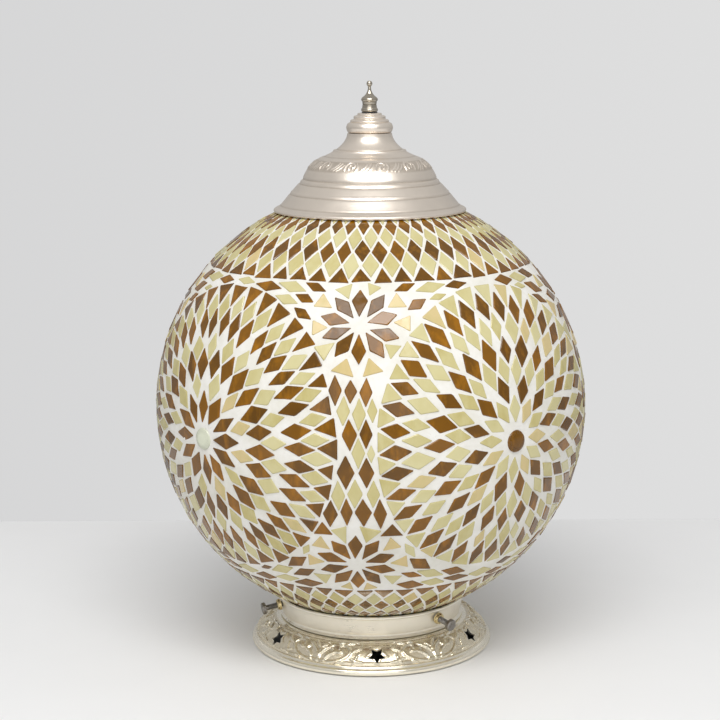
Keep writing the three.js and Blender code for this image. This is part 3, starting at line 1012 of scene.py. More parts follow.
@dataclass
class Mosaic:
    """The coat: where every piece of glass goes, the glass in its zones, and the grout between."""

    face_radius: float = 149.7
    back_radius: float = 147.2
    grout_radius: float = 149.35
    grout_back: float = 147.45
    joint: float = 0.95  # least width of grout between two pieces
    widest: float = 1.28  # how much wider, and longer, a piece may be cut to fill its room
    longest: float = 1.14
    growth: float = 1.04
    bevel: float = 0.35
    nip: float = 0.55  # how much is off each corner
    lean: float = 0.015  # how unevenly the pieces lean
    lift: float = 0.06  # how unevenly they stand out
    # How unevenly a piece is set and cut: its azimuth, latitude, heading, length and width.
    slack: tuple[float, ...] = (0.12, 0.1, 1.6, 0.025, 0.03)
    shrinks: tuple[float, ...] = (1.0, 0.93, 0.86, 0.79, 0.72, 0.65, 0.58)
    peach_share: float = 0.1  # how often a cream piece is peach instead
    band_peach_share: float = 0.07
    rim_peach_share: float = 0.3
    rim_apex: float = 32.6
    rim_width: float = 10.4
    top: float = 71.5
    bottom: float = -66.0
    diamond: Point = (20.6, 9.4)
    upright: Point = (20.4, 8.8)
    level: Point = (20.0, 8.6)
    medallions: tuple[tuple[float, float, bool], ...] = (
        (-46.5, -0.9, True), (38.4, -0.2, False), (130.0, -0.5, True), (222.0, -0.5, False),
    )
    seed: int = 11
    pieces: list[Tessera] = field(default_factory=list)

    def __post_init__(self) -> None:
        """Starts the outlines of the pieces set so far."""
        self.random = np.random.default_rng(self.seed)
        self.outlines: list[np.ndarray] = []
        self.centres = np.zeros((0, 3))
        self.nudges = [(0.0, 0.0)] + [(away, i * math.pi / 4) for away in (0.5, 1.0) for i in range(8)]
        self.left_out = 0

    # Laying out

    def lay(self, azimuth: float, latitude: float, heading: float, hue: Hue, zone: str,
            cut: Cut = Cut.DIAMOND, size: Optional[Point] = None) -> None:
        """Sets one piece, cut down a little where it would crowd those already set.

        Args:
            azimuth: The piece's azimuth from the front.
            latitude: The piece's latitude.
            heading: Its long axis, from east towards north.
            hue: Its colour.
            zone: The zone that it belongs to.
            cut: Its outline.
            size: Its length and width, if it isn't a stock diamond.
        """
        length, width = size or self.diamond
        drift = self.random.normal(0, 1, 5) * self.slack
        piece = Tessera(azimuth + drift[0], latitude + drift[1], heading + drift[2],
                        length * (1 + drift[3]), width * (1 + drift[4]), cut, hue, zone)
        near = self.near(piece, 4.0)
        for shrink in self.shrinks:
            for away, way in self.nudges:
                moved = replace(
                    piece, length=piece.length * shrink, width=piece.width * shrink,
                    azimuth=piece.azimuth + away * math.cos(way) / math.cos(piece.latitude * DEGREE),
                    latitude=piece.latitude + away * math.sin(way),
                )
                if self.has_room(moved, near):
                    self.pieces.append(moved)
                    self.outlines.append(moved.outline(self.face_radius))
                    self.centres = np.vstack([self.centres, moved.axes()[2]])
                    return
        self.left_out += 1

    def near(self, piece: Tessera, margin: float) -> list[int]:
        """The numbers of the pieces that a piece might touch, with a margin for its moving or growing."""
        if not self.pieces:
            return []
        reach = (piece.length + self.diamond[0]) / 2 + margin
        return np.nonzero(self.centres @ piece.axes()[2] > math.cos(reach / self.face_radius))[0].tolist()

    def has_room(self, piece: Tessera, near: Iterable[int]) -> bool:
        """Whether a piece keeps the least joint from every piece near it."""
        along, across, _ = piece.axes()
        plane = np.stack([along, across], axis=1)
        corners = piece.cut.corners(piece.length, piece.width)
        return all(gap_between(corners, self.outlines[i] @ plane) >= self.joint for i in near)

    def grow(self) -> None:
        """Cuts every piece to the room round it, wider first and then longer."""
        for number in self.random.permutation(len(self.pieces)).tolist():
            piece = self.pieces[number]
            if piece.cut in (Cut.ROUND, Cut.PETAL):
                continue
            near = [other for other in self.near(piece, 2.0) if other != number]
            most = {"width": self.widest * piece.width, "length": self.longest * piece.length}
            for side in ("width", "length", "width"):
                while getattr(piece, side) * self.growth <= most[side]:
                    larger = replace(piece, **{side: getattr(piece, side) * self.growth})
                    if not self.has_room(larger, near):
                        break
                    piece = larger
            self.pieces[number] = piece
            self.outlines[number] = piece.outline(self.face_radius)

    def polar(self, centre: Point, spread: float, turn: float) -> tuple[float, float, float]:
        """A place round a centre.

        Args:
            centre: Azimuth and latitude of the centre.
            spread: Degrees from the centre.
            turn: Direction from the centre, from east towards north.

        Returns:
            Azimuth, latitude, and the heading that leads away from the centre there.
        """
        middle = outward(*centre)
        away = math.cos(turn * DEGREE) * eastward(centre[0]) + math.sin(turn * DEGREE) * northward(*centre)
        place = math.cos(spread * DEGREE) * middle + math.sin(spread * DEGREE) * away
        onwards = -math.sin(spread * DEGREE) * middle + math.cos(spread * DEGREE) * away
        azimuth, latitude = math.atan2(place.x, -place.y) / DEGREE, math.asin(place.z) / DEGREE
        heading = math.atan2(
            onwards.dot(northward(azimuth, latitude)), onwards.dot(eastward(azimuth))
        ) / DEGREE
        return azimuth, latitude, heading

    def shade(self, hue: Hue, peach_share: float) -> Hue:
        """A piece's hue, with some of the cream ones changed to peach."""
        return Hue.PEACH if hue is Hue.CREAM and self.random.random() < peach_share else hue

    def medallion(self, index: int) -> None:
        """Lays one medallion: a cabochon, six rings of diamonds and a rim of triangles."""
        azimuth, latitude, pale = self.medallions[index]
        zone = f"mosaic_medallion_{index + 1}"
        if pale:
            rings = [(8.2, 7.4, 12, 2), (13.3, 6.5, 12, 18), (18.4, 7.6, 24, 10.5), (22.6, 7, 24, 3),
                     (28.5, 8, 40, 0), (32.9, 7.2, 40, 4.5)]
            rim = (Hue.BROWN, 40, 0)
        else:
            rings = [(7.7, 6.2, 12, -2), (12.2, 7.4, 12, 14.5), (17, 7, 24, 7), (21.6, 7.8, 24, 14.5),
                     (27.2, 7.5, 37, 11.9), (32.6, 7.6, 37, 7)]
            rim = (Hue.CREAM, 37, 11.9)
        hue = Hue.BROWN if pale else Hue.CREAM
        gem = Hue.PALE if pale else Hue.BROWN
        self.lay(azimuth, latitude, 0, gem, zone, Cut.ROUND, (14.6, 14.6))
        for spread, length, count, phase in rings:
            centre = (azimuth, latitude + 0.035 * spread)
            for i in range(count):
                place = self.polar(centre, spread, phase + i * 360 / count)
                width = min(
                    self.diamond[1],
                    0.86 * math.sin(spread * DEGREE) * GLOBE_RADIUS * 2 * math.pi / count
                )
                shade = self.shade(hue, self.peach_share)
                self.lay(*place, shade, zone, size=(length * DEGREE * GLOBE_RADIUS, width))
            hue = Hue.CREAM if hue is Hue.BROWN else Hue.BROWN
        shade, count, phase = rim
        for i in range(count):
            turn = phase + i * 360 / count
            base = 36.9 + 2.3 * max(0.0, math.cos((turn - 75) * DEGREE)) ** 2
            middle = (self.rim_apex + base) / 2
            azimuth_at, latitude_at, heading = self.polar((azimuth, latitude + 1.2), middle, turn)
            hue = self.shade(shade, self.rim_peach_share)
            self.lay(azimuth_at, latitude_at, heading + 180, hue, zone, Cut.TRIANGLE,
                     ((base - self.rim_apex) * DEGREE * GLOBE_RADIUS, self.rim_width))

    def band_row(self, latitude: float, phase: float, hue: Hue, zone: str, size: Point, cut: Cut = Cut.DIAMOND,
                 heading: float = 90, count: int = 50) -> None:
        """Lays one level row of a band."""
        for i in range(count):
            shade = self.shade(hue, self.band_peach_share)
            self.lay(phase + i * 360 / count, latitude, heading, shade, zone, cut, size)

    def bands(self) -> None:
        """Lays the upper band, from the field to under the cap, and the lower one, down to the cup."""
        top, bottom = "mosaic_top_band", "mosaic_bottom_band"
        self.band_row(44.7, -3.2, Hue.BROWN, top, (10.8, 11.4), Cut.TRIANGLE)
        self.band_row(47.7, 0.4, Hue.CREAM, top, (20.5, 10.2))
        self.band_row(52.0, -3.2, Hue.BROWN, top, (20.8, 9.7))
        self.band_row(56.4, 0.4, Hue.CREAM, top, (20.4, 9.0))
        self.band_row(61.0, -3.2, Hue.BROWN, top, (19.8, 8.0))
        self.band_row(65.4, 0.4, Hue.CREAM, top, (18, 6.4))
        self.band_row(69.1, -3.2, Hue.BROWN, top, (10.5, 6.0), Cut.TRIANGLE, -90)
        self.band_row(-45.5, -2.5, Hue.BROWN, bottom, (9.5, 11.4), Cut.TRIANGLE, -90)
        self.band_row(-48.6, 1.1, Hue.CREAM, bottom, (18, 9.8))
        self.band_row(-52.5, -2.5, Hue.BROWN, bottom, (17, 9.4))
        self.band_row(-56.6, 1.1, Hue.CREAM, bottom, (17, 8.6))
        self.band_row(-60.7, -2.5, Hue.BROWN, bottom, (16, 7.6))
        self.band_row(-63.9, 1.1, Hue.CREAM, bottom, (8.6, 6.6), Cut.TRIANGLE)

    def petals(self, centre: Point, inner: float, outer: float) -> None:
        """Lays ten petals round a point, one straight up."""
        length = (outer - inner) * DEGREE * GLOBE_RADIUS
        for i in range(10):
            place = self.polar(centre, (inner + outer) / 2, 90 + 36 * i)
            self.lay(*place, Hue.BROWN, "mosaic_field", Cut.PETAL, (length, 9.8))

    def tips(self, centre: Point, spread: float) -> None:
        """Lays ten pale triangles between the petals' ends."""
        for i in range(10):
            azimuth, latitude, heading = self.polar(centre, spread, 90 + 36 * (i + 0.5))
            hue = Hue.PEACH if i % 3 else Hue.CREAM
            self.lay(azimuth, latitude, heading + 180, hue, "mosaic_field", Cut.TRIANGLE, (11.2, 11.4))

    def column(self, centre: float, half: float) -> None:
        """Lays the column between two medallions, with its rosettes and the rows that flank them.

        Args:
            centre: The column's azimuth.
            half: Half of the angle between the two medallions' centres.
        """
        zone, extra = "mosaic_field", half - 42.45
        upper, lower = (centre + 0.9, 30.6), (centre, -32.3)
        reach = 9.8 + 0.35 * max(0.0, extra)
        self.petals(upper, 2.2, reach)
        self.petals(lower, 2.3, reach + 0.2)
        self.tips(upper, reach + 0.6)
        self.tips(lower, reach + 0.3)
        rows = [(15.3, Hue.BROWN, (-5.4, -1.3, 3.0)), (9.8, Hue.CREAM, (-3.4, 0.8, 4.4)),
                (4.2, Hue.BROWN, (-1.7, 2.2)), (-0.3, Hue.CREAM, (-4.3, 0.3, 4.6)),
                (-5.3, Hue.BROWN, (-1.8, 2.7)), (-10.9, Hue.CREAM, (-4.1, 0.3, 4.2)),
                (-16.3, Hue.BROWN, (-6.0, -2.0, 2.2, 6.1))]
        for latitude, hue, offsets in rows:
            wide = 1 + 0.22 * max(0.0, extra) / 3.3
            for offset in offsets:
                self.lay(centre + offset * wide, latitude, 90, hue, zone, size=self.upright)
        if extra > 1:
            outer = (
                (15.3, Hue.BROWN, 9), (9.8, Hue.CREAM, 9), (-10.9, Hue.CREAM, 9.2),
                (4.2, Hue.BROWN, 6.4), (-5.3, Hue.BROWN, 6.8), (-16.3, Hue.BROWN, 11),
            )
            for latitude, hue, offset in outer:
                for side in (-1, 1):
                    self.lay(centre + side * offset, latitude, 90, hue, zone, size=self.upright)
        for side in (-1, 1):
            self.lay(centre + side * (9.2 + extra), -21.3, 90, Hue.BROWN, zone, Cut.TRIANGLE, (9.5, 12.0))
        flanks = [
            (upper, 14.3, 10.2, 20, Hue.BROWN), (upper, 22.8, 10.0, 12, Hue.CREAM),
            (upper, 32.2, 9.3, 5, Hue.BROWN),
            (upper, 42.6, 9.5, 0, Hue.CREAM), (upper, 16.4, 6.2, 25, Hue.BROWN),
            (upper, 24.6, 6.4, 14, Hue.CREAM),
            (upper, 17.4, 2.4, 30, Hue.BROWN), (upper, 13.6, -5.2, 52, Hue.CREAM),
            (lower, 17.7, -0.5, -34, Hue.BROWN), (lower, 24.0, -3.7, -20, Hue.CREAM),
            (lower, 17.2, -4.9, -24, Hue.BROWN),
            (lower, 16.0, -8.9, -8, Hue.BROWN), (lower, 24.6, -8.6, -8, Hue.CREAM),
            (lower, 33.4, -8.2, -4, Hue.BROWN),
            (lower, 31.2, -5.9, -14, Hue.BROWN), (lower, 13.8, 4.7, -58, Hue.CREAM),
            (lower, 42.2, -8.4, 0, Hue.CREAM),
        ]
        for (azimuth, latitude), across, rise, slant, hue in flanks:
            for side in (-1, 1):
                place = azimuth + side * (across + extra)
                heading = slant if side > 0 else 180 - slant
                self.lay(place, latitude + rise, heading, hue, zone, size=self.level)

    def lay_all(self) -> None:
        """Lays the whole coat."""
        for index in range(len(self.medallions)):
            self.medallion(index)
        self.bands()
        middles = sorted((azimuth + 180) % 360 - 180 for azimuth, _, _ in self.medallions)
        for left, right in zip(middles, [*middles[1:], middles[0] + 360]):
            self.column((left + right) / 2 - 0.1, (right - left) / 2)
        self.grow()
        LOG.info(
            "coat: %d pieces of glass laid, %d left out for want of room", len(self.pieces),
            self.left_out
        )

    # Making

    def blunted(self, corners: np.ndarray) -> np.ndarray:
        """An outline with its corners nipped, each by a little more or less."""
        points = []
        for before, corner, after in zip(
            np.roll(corners, 1, axis=0), corners, np.roll(corners, -1, axis=0)
        ):
            nip = self.nip * (1 + 0.35 * self.random.normal())
            drift = self.random.normal(0, 0.12, 2)
            for other in (before, after):
                way = other - corner
                points.append(corner + way / np.linalg.norm(way) * min(max(nip, 0.2), 1.2) + drift)
        return np.array(points)

    def glass(self, zone: str) -> bpy.types.Object:
        """Makes one zone's pieces of glass as one object."""
        points: list[np.ndarray] = []
        faces: list[list[int]] = []
        tint: list[float] = []
        hue: list[float] = []
        rim: list[float] = []
        for piece in (p for p in self.pieces if p.zone == zone):
            along, across, out = piece.axes()
            corners = piece.cut.corners(piece.length, piece.width)
            round_cut = piece.cut is Cut.ROUND
            corners = corners if round_cut else self.blunted(corners)
            count = len(corners)
            lean = self.random.normal(0, self.lean, 2)
            centre = out * (self.face_radius + self.random.normal(0, self.lift))
            inset = corners * (
                1 - self.bevel / np.maximum(np.linalg.norm(corners, axis=1, keepdims=True) * 0.5, 1.5)
            )
            if round_cut:
                crown = [
                    (corners, -0.5), (corners * 0.93, 0.35), (corners * 0.75, 0.95),
                    (corners * 0.45, 1.4)
                ]
                levels = [(corners, self.back_radius - self.face_radius)] + crown
            else:
                levels = [
                    (corners, self.back_radius - self.face_radius), (corners, -self.bevel), (inset, 0.0)
                ]
            start = len(points)
            for flat, height in levels:
                sag = 0 if height < -1 else flat @ lean
                ring = centre + flat[:, :1] * along + flat[:, 1:] * across
                ring = ring + np.outer(height + sag, out).reshape(-1, 3)
                if height < -1:
                    ring = ring / np.linalg.norm(ring, axis=1, keepdims=True) * self.back_radius
                points.extend(ring)
            # Bevel and side points get rim 1, which the glass finish darkens as painted shade.
            rim += [1.0] * (count * (len(levels) - 1)) + [0.0] * count
            firsts = [start + level * count for level in range(len(levels))]
            loops = [list(range(first, first + count)) for first in firsts]
            made = [loops[0][::-1], loops[-1]]
            for low, high in zip(loops, loops[1:]):
                made += [
                    [low[i], low[(i + 1) % count], high[(i + 1) % count], high[i]] for i in range(count)
                ]
            faces += made
            tint += [float(self.random.random())] * len(made)
            hue += [piece.hue.value] * len(made)
        mesh = bpy.data.meshes.new(zone)
        placed = np.array(points) + np.array([0, 0, GLOBE_CENTRE])
        mesh.from_pydata((placed * MM).tolist(), [], faces)
        store(mesh, "tint", "FACE", np.array(tint))
        store(mesh, "hue", "FACE", np.array(hue))
        store(mesh, "rim", "POINT", np.array(rim))
        soften(mesh, 24)
        return object_of(zone.replace("mosaic", "set_glass"), mesh)

    def arc(self, radius: float, step: float) -> list[Point]:
        """The coat's curve from its lower edge to its upper one, with a point at each step of latitude."""
        latitudes = np.arange(self.bottom, self.top + step / 2, step)
        return [
            (radius * math.cos(a * DEGREE), GLOBE_CENTRE + radius * math.sin(a * DEGREE)) for a in latitudes
        ]

    def grout(self) -> bpy.types.Object:
        """Makes the grout as one shell, slightly uneven, from the cap's opening to the cup."""
        outline = np.array(self.arc(self.grout_radius, 0.98) + self.arc(self.grout_back, 5.5)[::-1])
        relief = Relief(unevenness=0.22, grain=9.0)
        return Turning("grout", outline, around=360, relief=relief).build()

    def build(self) -> None:
        """Makes the coat and ties it to the globe."""
        self.lay_all()
        for zone in ("mosaic_top_band", "mosaic_bottom_band", "mosaic_field"):
            fit(self.glass(zone), Finish.SET_GLASS, "globe", "mosaic", zone)
        for index in range(len(self.medallions)):
            zone = f"mosaic_medallion_{index + 1}"
            fit(self.glass(zone), Finish.MEDALLION_GLASS, "globe", "mosaic_medallion", zone)
        fit(self.grout(), Finish.GROUT, "globe", "mosaic")


# --------------------------------------------------------------------------------------------------
# The metal work


@dataclass
class Foot:
    """The spun foot with its pierced, embossed band, the felt and plate under it, and the gallery cup."""

    wall: float = 1.0
    star_radius: float = 6.1
    star_waist: float = 0.53
    star_first: float = 2.7
    star_count: int = 6
    scroll_stretch: float = 1.5
    star_spot: tuple[float, float, float] = (77.4, 12.6, 50.0)  # radius, height and tilt of a star's middle
    inlet_azimuth: float = 212.7
    inlet_height: float = 9.5
    screw_azimuths: tuple[float, ...] = (44.0, 164.0, -76.0)
    screw_droop: float = 11.0
    screw_anchor: Point = (65.3, 29.6)  # radius and height at which a screw's axis leaves the cup
    knurls: int = 24

    def star_tools(self) -> list[bpy.types.Object]:
        """The cutters of the star-shaped holes."""
        radius, height, tilt = self.star_spot
        tools = []
        for i in range(self.star_count):
            azimuth = self.star_first + i * 360 / self.star_count
            out, up = outward(azimuth, tilt), outward(azimuth, tilt + 90)
            middle = outward(azimuth) * radius + Vector((0, 0, height))
            place = basis(up.cross(out), up, out, middle)
            tools.append(prism("star_tool", star_corners(self.star_radius, self.star_waist), 8, place))
        return tools

    def round_tool(self, radius: float, place: Matrix, depth: float) -> bpy.types.Object:
        """The cutter of a drilled hole."""
        turns = np.arange(32) * math.pi / 16
        return prism("drill", [(radius * math.cos(t), radius * math.sin(t)) for t in turns], depth, place)

    def scrolls(self) -> tuple[Stroke, ...]:
        """The curling leaves that fill the band between two stars, about the middle of the gap."""
        half = (
            (1.05, (1.5, -8.4), (7, -7.2), (12.5, -3.4), (14.6, 1.6), (12.6, 5.4), (9.4, 5.0), (9.2, 2.4)),
            (0.9, (11, 2.4), (10.6, 0.6), (8.6, -0.2)),
            (1.1, (3, -7.4), (4.6, -2.6), (8.4, 0.4)),
            (1.15, (0.6, -2.6), (2.6, 1.8), (6.6, 5.8)),
            (0.95, (0.4, 2.2), (2.4, 5.2), (3.4, 8.0)),
            (1.0, (14.4, -3.6), (17.6, -5.6), (20.6, -6.4)),
            (1.05, (15.8, 1.4), (19, 3.8), (20.0, 7.4)),
            (0.85, (12.4, 6.6), (15.4, 8.0), (18.2, 9.0)),
            (0.8, (8.6, 7.2), (11.4, 8.2)),
            (0.9, (16.2, -7.6), (17.6, -3.4), (18.4, 0.6)),
            (0.8, (8.4, -8.4), (10.8, -6.2), (11.4, -3.2)),
            (0.8, (5.2, 3.2), (6.4, 0.6), (6.0, -2.0)),
        )
        strokes = [Stroke(((0, -8.6), (0.3, -3), (0, 2.5)), 1.0, 0.8)]
        for side in (-self.scroll_stretch, self.scroll_stretch):
            strokes += [Stroke(tuple((side * x, y) for x, y in line), width) for width, *line in half]
        return tuple(strokes)

    def skirt(self) -> bpy.types.Object:
        """Makes the foot's skirt and deck."""
        outside = trace(
            (82.0, 0.6), (0.35, (83.4, 0.45), (85.0, 1.2), (85.5, 2.6), (84.9, 4.2), (83.4, 5.2)),
            (0.4, (83.0, 6.4)), (0.42, (81.6, 8.0), (76.4, 13.8), (72.6, 16.6), (69.2, 18.0)),
            (0.4, (67.0, 18.7), (66.4, 19.2)), (6, (5.4, 19.2)),
        )
        sheet = sheet_outline(outside, self.wall, 3.0)
        rings = (
            Ring(82.0, 7.4, 0.55, -0.45), Ring(80.9, 8.7, 0.5, 0.3), Ring(70.4, 17.6, 0.6, 0.45),
            Ring(68.6, 18.2, 0.5, -0.3),
        )
        lip = tuple((x * 1.24, y * 1.24) for x, y in star_corners(self.star_radius, self.star_waist))
        middle = (76.6, 13.4)
        motifs = (
            Motif((Stroke((*lip, lip[0]), 0.75, 0.45, even=True),), self.star_count, self.star_first, middle),
            Motif(self.scrolls(), self.star_count, self.star_first + 180 / self.star_count, middle),
        )
        relief = Relief(rings, motifs, unevenness=0.06)
        piece = Turning("foot", sheet, 720, relief=relief, relief_rows=len(outside)).build()
        inlet = basis(eastward(self.inlet_azimuth), Vector((0, 0, 1)), outward(self.inlet_azimuth),
                      outward(self.inlet_azimuth) * 80 + Vector((0, 0, self.inlet_height)))
        carve(piece, [*self.star_tools(), self.round_tool(4.3, inlet, 30)])
        return piece

    def screw_place(self, azimuth: float) -> Matrix:
        """The place of a thumb screw, with its axis pointing out of the cup."""
        out = outward(azimuth, -self.screw_droop)
        up = outward(azimuth, 90 - self.screw_droop)
        anchor = outward(azimuth) * self.screw_anchor[0] + Vector((0, 0, self.screw_anchor[1]))
        return basis(up.cross(out), up, out, anchor)

    def cup(self) -> bpy.types.Object:
        """Makes the gallery cup, with its beaded foot and rolled lip."""
        outside = trace(
            (5.4, 19.5), (6, (62.6, 19.5)), (0.3, (64.3, 19.6), (64.9, 20.3), (64.1, 21.0), (63.6, 21.6)),
            (0.6, (64.0, 25), (65.2, 30.2), (66.3, 34.0)),
            (0.25, (67.1, 34.7), (67.1, 35.7), (66.3, 36.3)),
        )
        sheet = sheet_outline(outside, self.wall, 2.0)
        relief = Relief((Ring(63.8, 22.6, 0.5, -0.2),), unevenness=0.02)
        piece = Turning("gallery_cup_shell", sheet, 300, relief=relief, relief_rows=len(outside)).build()
        carve(piece, [self.round_tool(2.35, self.screw_place(a), 12) for a in self.screw_azimuths])
        return piece

    def grip(self, azimuth: np.ndarray, height: np.ndarray) -> np.ndarray:
        """The thread on a thumb screw's shank and the knurl on its head."""
        knurl = 0.16 * np.abs(np.sin(np.pi * azimuth * self.knurls / 360)) - 0.06
        return Thread(-5.8, 10.2, M4_PITCH, 0.17)(azimuth, height) + (np.abs(height - 13.15) < 1.15) * knurl

    def thumb_screw(self, number: int, azimuth: float) -> None:
        """Makes one thumb screw with its brass boss and its soft tip."""
        place = self.screw_place(azimuth)
        boss = trace(
            (2.35, 0.7), (0.25, (3.7, 0.7), (4.0, 1.0), (4.0, 2.0), (3.5, 3.2), (3.2, 3.6), (2.35, 3.6)),
            (0.8, (2.35, 0.7)),
        )
        tip = trace(
            (0, -8.9), (0.6, (1.8, -8.9)), (0.3, (2.2, -8.6), (2.5, -6.9), (2.3, -6.6)), (0.8, (0, -6.6)),
        )
        shank = trace(
            (0, -6.3), (0.5, (1.6, -6.3)), (0.2, (1.9, -6.0)), (0.12, (1.9, 10.2)), (0.5, (1.9, 11.6)),
            (0.3, (2.6, 11.6), (3.6, 11.7)), (0.2, (4.1, 12.1)), (0.35, (4.1, 14.2)), (0.2, (3.7, 14.7)),
            (0.4, (2.6, 14.8), (2.0, 14.5), (0, 14.4)),
        )
        turned(f"brass_boss_{number}", boss, Finish.BRASS, "base", "brass", f"screw_boss_{number}", 48,
               place=place)
        turned(f"soft_tip_{number}", tip, Finish.RUBBER, f"tip_{number}", "rubber", f"screw_tip_{number}", 32,
               place=place)
        turned(f"knurled_screw_{number}", shank, Finish.DARK_STEEL, f"screw_{number}", "dark_steel",
               f"thumb_screw_{number}", 96, self.grip, place)

    def underside(self) -> None:
        """Makes the felt disc, the bottom plate and the inlet's grommet."""
        felt = trace((0, 0), (8, (79.4, 0)), (0.3, (80, 0.3), (80, 0.9), (79.4, 1.2)), (8, (0, 1.2)))
        turned("felt_pad", felt, Finish.FELT, "base", "felt", "felt_disc", 180)
        plate = trace(
            (0, 1.5), (8, (80.4, 1.5)), (0.3, (80.8, 1.8), (80.8, 2.4), (80.4, 2.7)), (8, (0, 2.7)),
        )
        turned("foot_plate", plate, Finish.STEEL, "base", "steel", "bottom_plate", 180)
        sleeve = trace(
            (2.9, 69.6), (0.3, (4.8, 69.6), (5.2, 70.0), (5.2, 70.7), (4.9, 71.0), (4.0, 71.0)),
            (1, (4.0, 82.0)), (0.3, (4.25, 83.4), (4.0, 85.2), (3.3, 85.6), (2.9, 85.4)),
            (2, (2.9, 69.6)),
        )
        out = outward(self.inlet_azimuth)
        place = basis(
            eastward(self.inlet_azimuth), Vector((0, 0, 1)), out, Vector((0, 0, self.inlet_height))
        )
        turned("inlet_grommet", sleeve, Finish.RUBBER, "base", "rubber", "cord_grommet", 48, place=place)

    def build(self) -> None:
        """Makes the foot."""
        fit(self.skirt(), Finish.CHAMPAGNE, "base", "champagne_metal", "foot_skirt")
        # The cup gets the brightened copy of the plating: painted light.
        fit(self.cup(), Finish.CUP_METAL, "base", "champagne_metal", "gallery_cup")
        for number, azimuth in enumerate(self.screw_azimuths, 1):
            self.thumb_screw(number, azimuth)
        self.underside()


@dataclass
class Cap:
    """The embossed bell cap over the globe's opening, with its crown, washer and finial."""

    wall: float = 1.0
    leaf_count: int = 12
    leaf_first: float = 4.0

    def leaves(self) -> tuple[Stroke, ...]:
        """One leaf: three slanted veins, and a curl over its stem."""
        return (
            Stroke(((-9.2, -3.8), (-6.0, -0.6), (-3.8, 3.4)), 0.8, 0.42),
            Stroke(((-7.0, -4.4), (-4.0, -1.0), (-1.6, 3.2)), 0.7, 0.38),
            Stroke(((-4.6, -4.6), (-1.8, -1.6), (0.4, 2.2)), 0.65, 0.34),
            Stroke(((1.6, -4.2), (1.5, 0.4), (3.4, 3.8), (6.6, 3.4), (7.7, 0.6), (6.4, -1.6)), 0.75, 0.46),
            Stroke(((4.2, -3.2), (4.0, 0.2), (5.4, 1.4)), 0.7, 0.4),
            Stroke(((8.6, -4.2), (9.8, 0.0), (8.9, 3.8)), 0.65, 0.36),
        )

    def shell(self) -> bpy.types.Object:
        """Makes the cap's bell."""
        outside = trace(
            (64.6, 307.6),
            (0.35, (65.0, 306.9), (66.1, 307.2), (66.3, 308.4), (65.2, 309.4), (63.6, 310.0)),
            (0.6, (60.6, 312.6), (55.0, 319.4), (50.4, 324.6)),
            (0.5, (48.4, 326.6), (46.4, 329.0), (45.3, 331.8), (42.4, 336.8), (38.6, 340.6), (34.2, 343.6)),
            (0.65, (29.6, 345.4), (26.0, 347.2), (21.4, 350.4), (17.9, 353.9), (15.9, 357.4), (15.2, 360.2)),
            (2.5, (2.6, 360.2)),
        )
        sheet = sheet_outline(outside, self.wall, 2.5)
        rings = (
            Ring(61.6, 311.6, 0.6, -0.25), Ring(55.2, 319.2, 0.5, -0.3), Ring(53.9, 320.7, 0.5, 0.2),
            Ring(48.5, 326.5, 0.5, -0.35), Ring(47.3, 327.9, 0.5, 0.3), Ring(46.2, 329.4, 0.45, -0.35),
            Ring(31.0, 344.9, 0.6, -0.3), Ring(24.5, 348.3, 0.9, 0.7), Ring(22.6, 349.6, 0.5, -0.3),
        )
        motifs = (Motif(self.leaves(), self.leaf_count, self.leaf_first, (39.4, 339.8)),)
        relief = Relief(rings, motifs, unevenness=0.1, grain=18.0)
        return Turning("bell_cap", sheet, 480, relief=relief, relief_rows=len(outside)).build()

    def crown(self) -> bpy.types.Object:
        """Makes the beaded crown on the bell."""
        outline = trace(
            (2.6, 360.5), (2.5, (14.4, 360.5)),
            (0.35, (15.2, 361.2), (15.9, 363.0), (16.0, 364.6), (15.2, 366.6)),
            (0.35, (14.0, 367.4), (13.1, 367.6)),
            (0.3, (13.3, 368.5), (12.6, 369.3), (11.4, 369.6), (10.8, 370.2)),
            (0.3, (11.0, 371.2), (10.2, 372.0), (8.9, 372.3), (8.3, 372.8)),
            (0.3, (8.3, 373.5), (7.6, 373.8)), (1.5, (2.6, 373.8)), (3, (2.6, 360.5)),
        )[:-1]
        return Turning("beaded_crown", outline, 120, relief=Relief(unevenness=0.05)).build()

    def finial(self) -> bpy.types.Object:
        """Makes the finial, bored for the rod."""
        outline = trace(
            (0, 381.0), (0.8, (2.35, 381.0)), (1.5, (2.35, 375.0)), (1, (5.4, 375.0)),
            (0.25, (5.75, 375.5), (5.7, 376.5), (5.1, 377.3)), (0.4, (4.85, 379.5), (5.0, 381.6)),
            (0.3, (5.6, 382.3), (5.7, 383.2), (5.0, 384.3), (3.4, 385.6), (2.3, 386.9)),
            (0.3, (1.6, 388.4), (1.15, 389.8), (1.0, 391.6)),
            (0.25, (1.7, 392.6), (2.0, 393.7), (1.6, 394.9), (0.9, 395.4), (0, 395.5)),
        )
        relief = Relief((Ring(4.85, 379.5, 0.3, -0.15),), unevenness=0.02, grain=6)
        return Turning("turned_finial", outline, 72, closed=False, relief=relief).build()

    def build(self) -> None:
        """Makes the cap."""
        fit(self.shell(), Finish.CAP_METAL, "cap", "cap_metal", "top_cap")
        fit(self.crown(), Finish.CAP_METAL, "cap", "cap_metal", "cap_crown")
        washer = trace(
            (2.6, 374.1), (0.3, (5.2, 374.1), (5.4, 374.3), (5.3, 374.7)), (1, (2.6, 374.7)),
            (1, (2.6, 374.1)),
        )
        turned("fibre_washer", washer, Finish.RUBBER, "washer", "rubber", "finial_washer", 48)
        fit(self.finial(), Finish.POLISHED, "finial", "polished_metal", "finial")


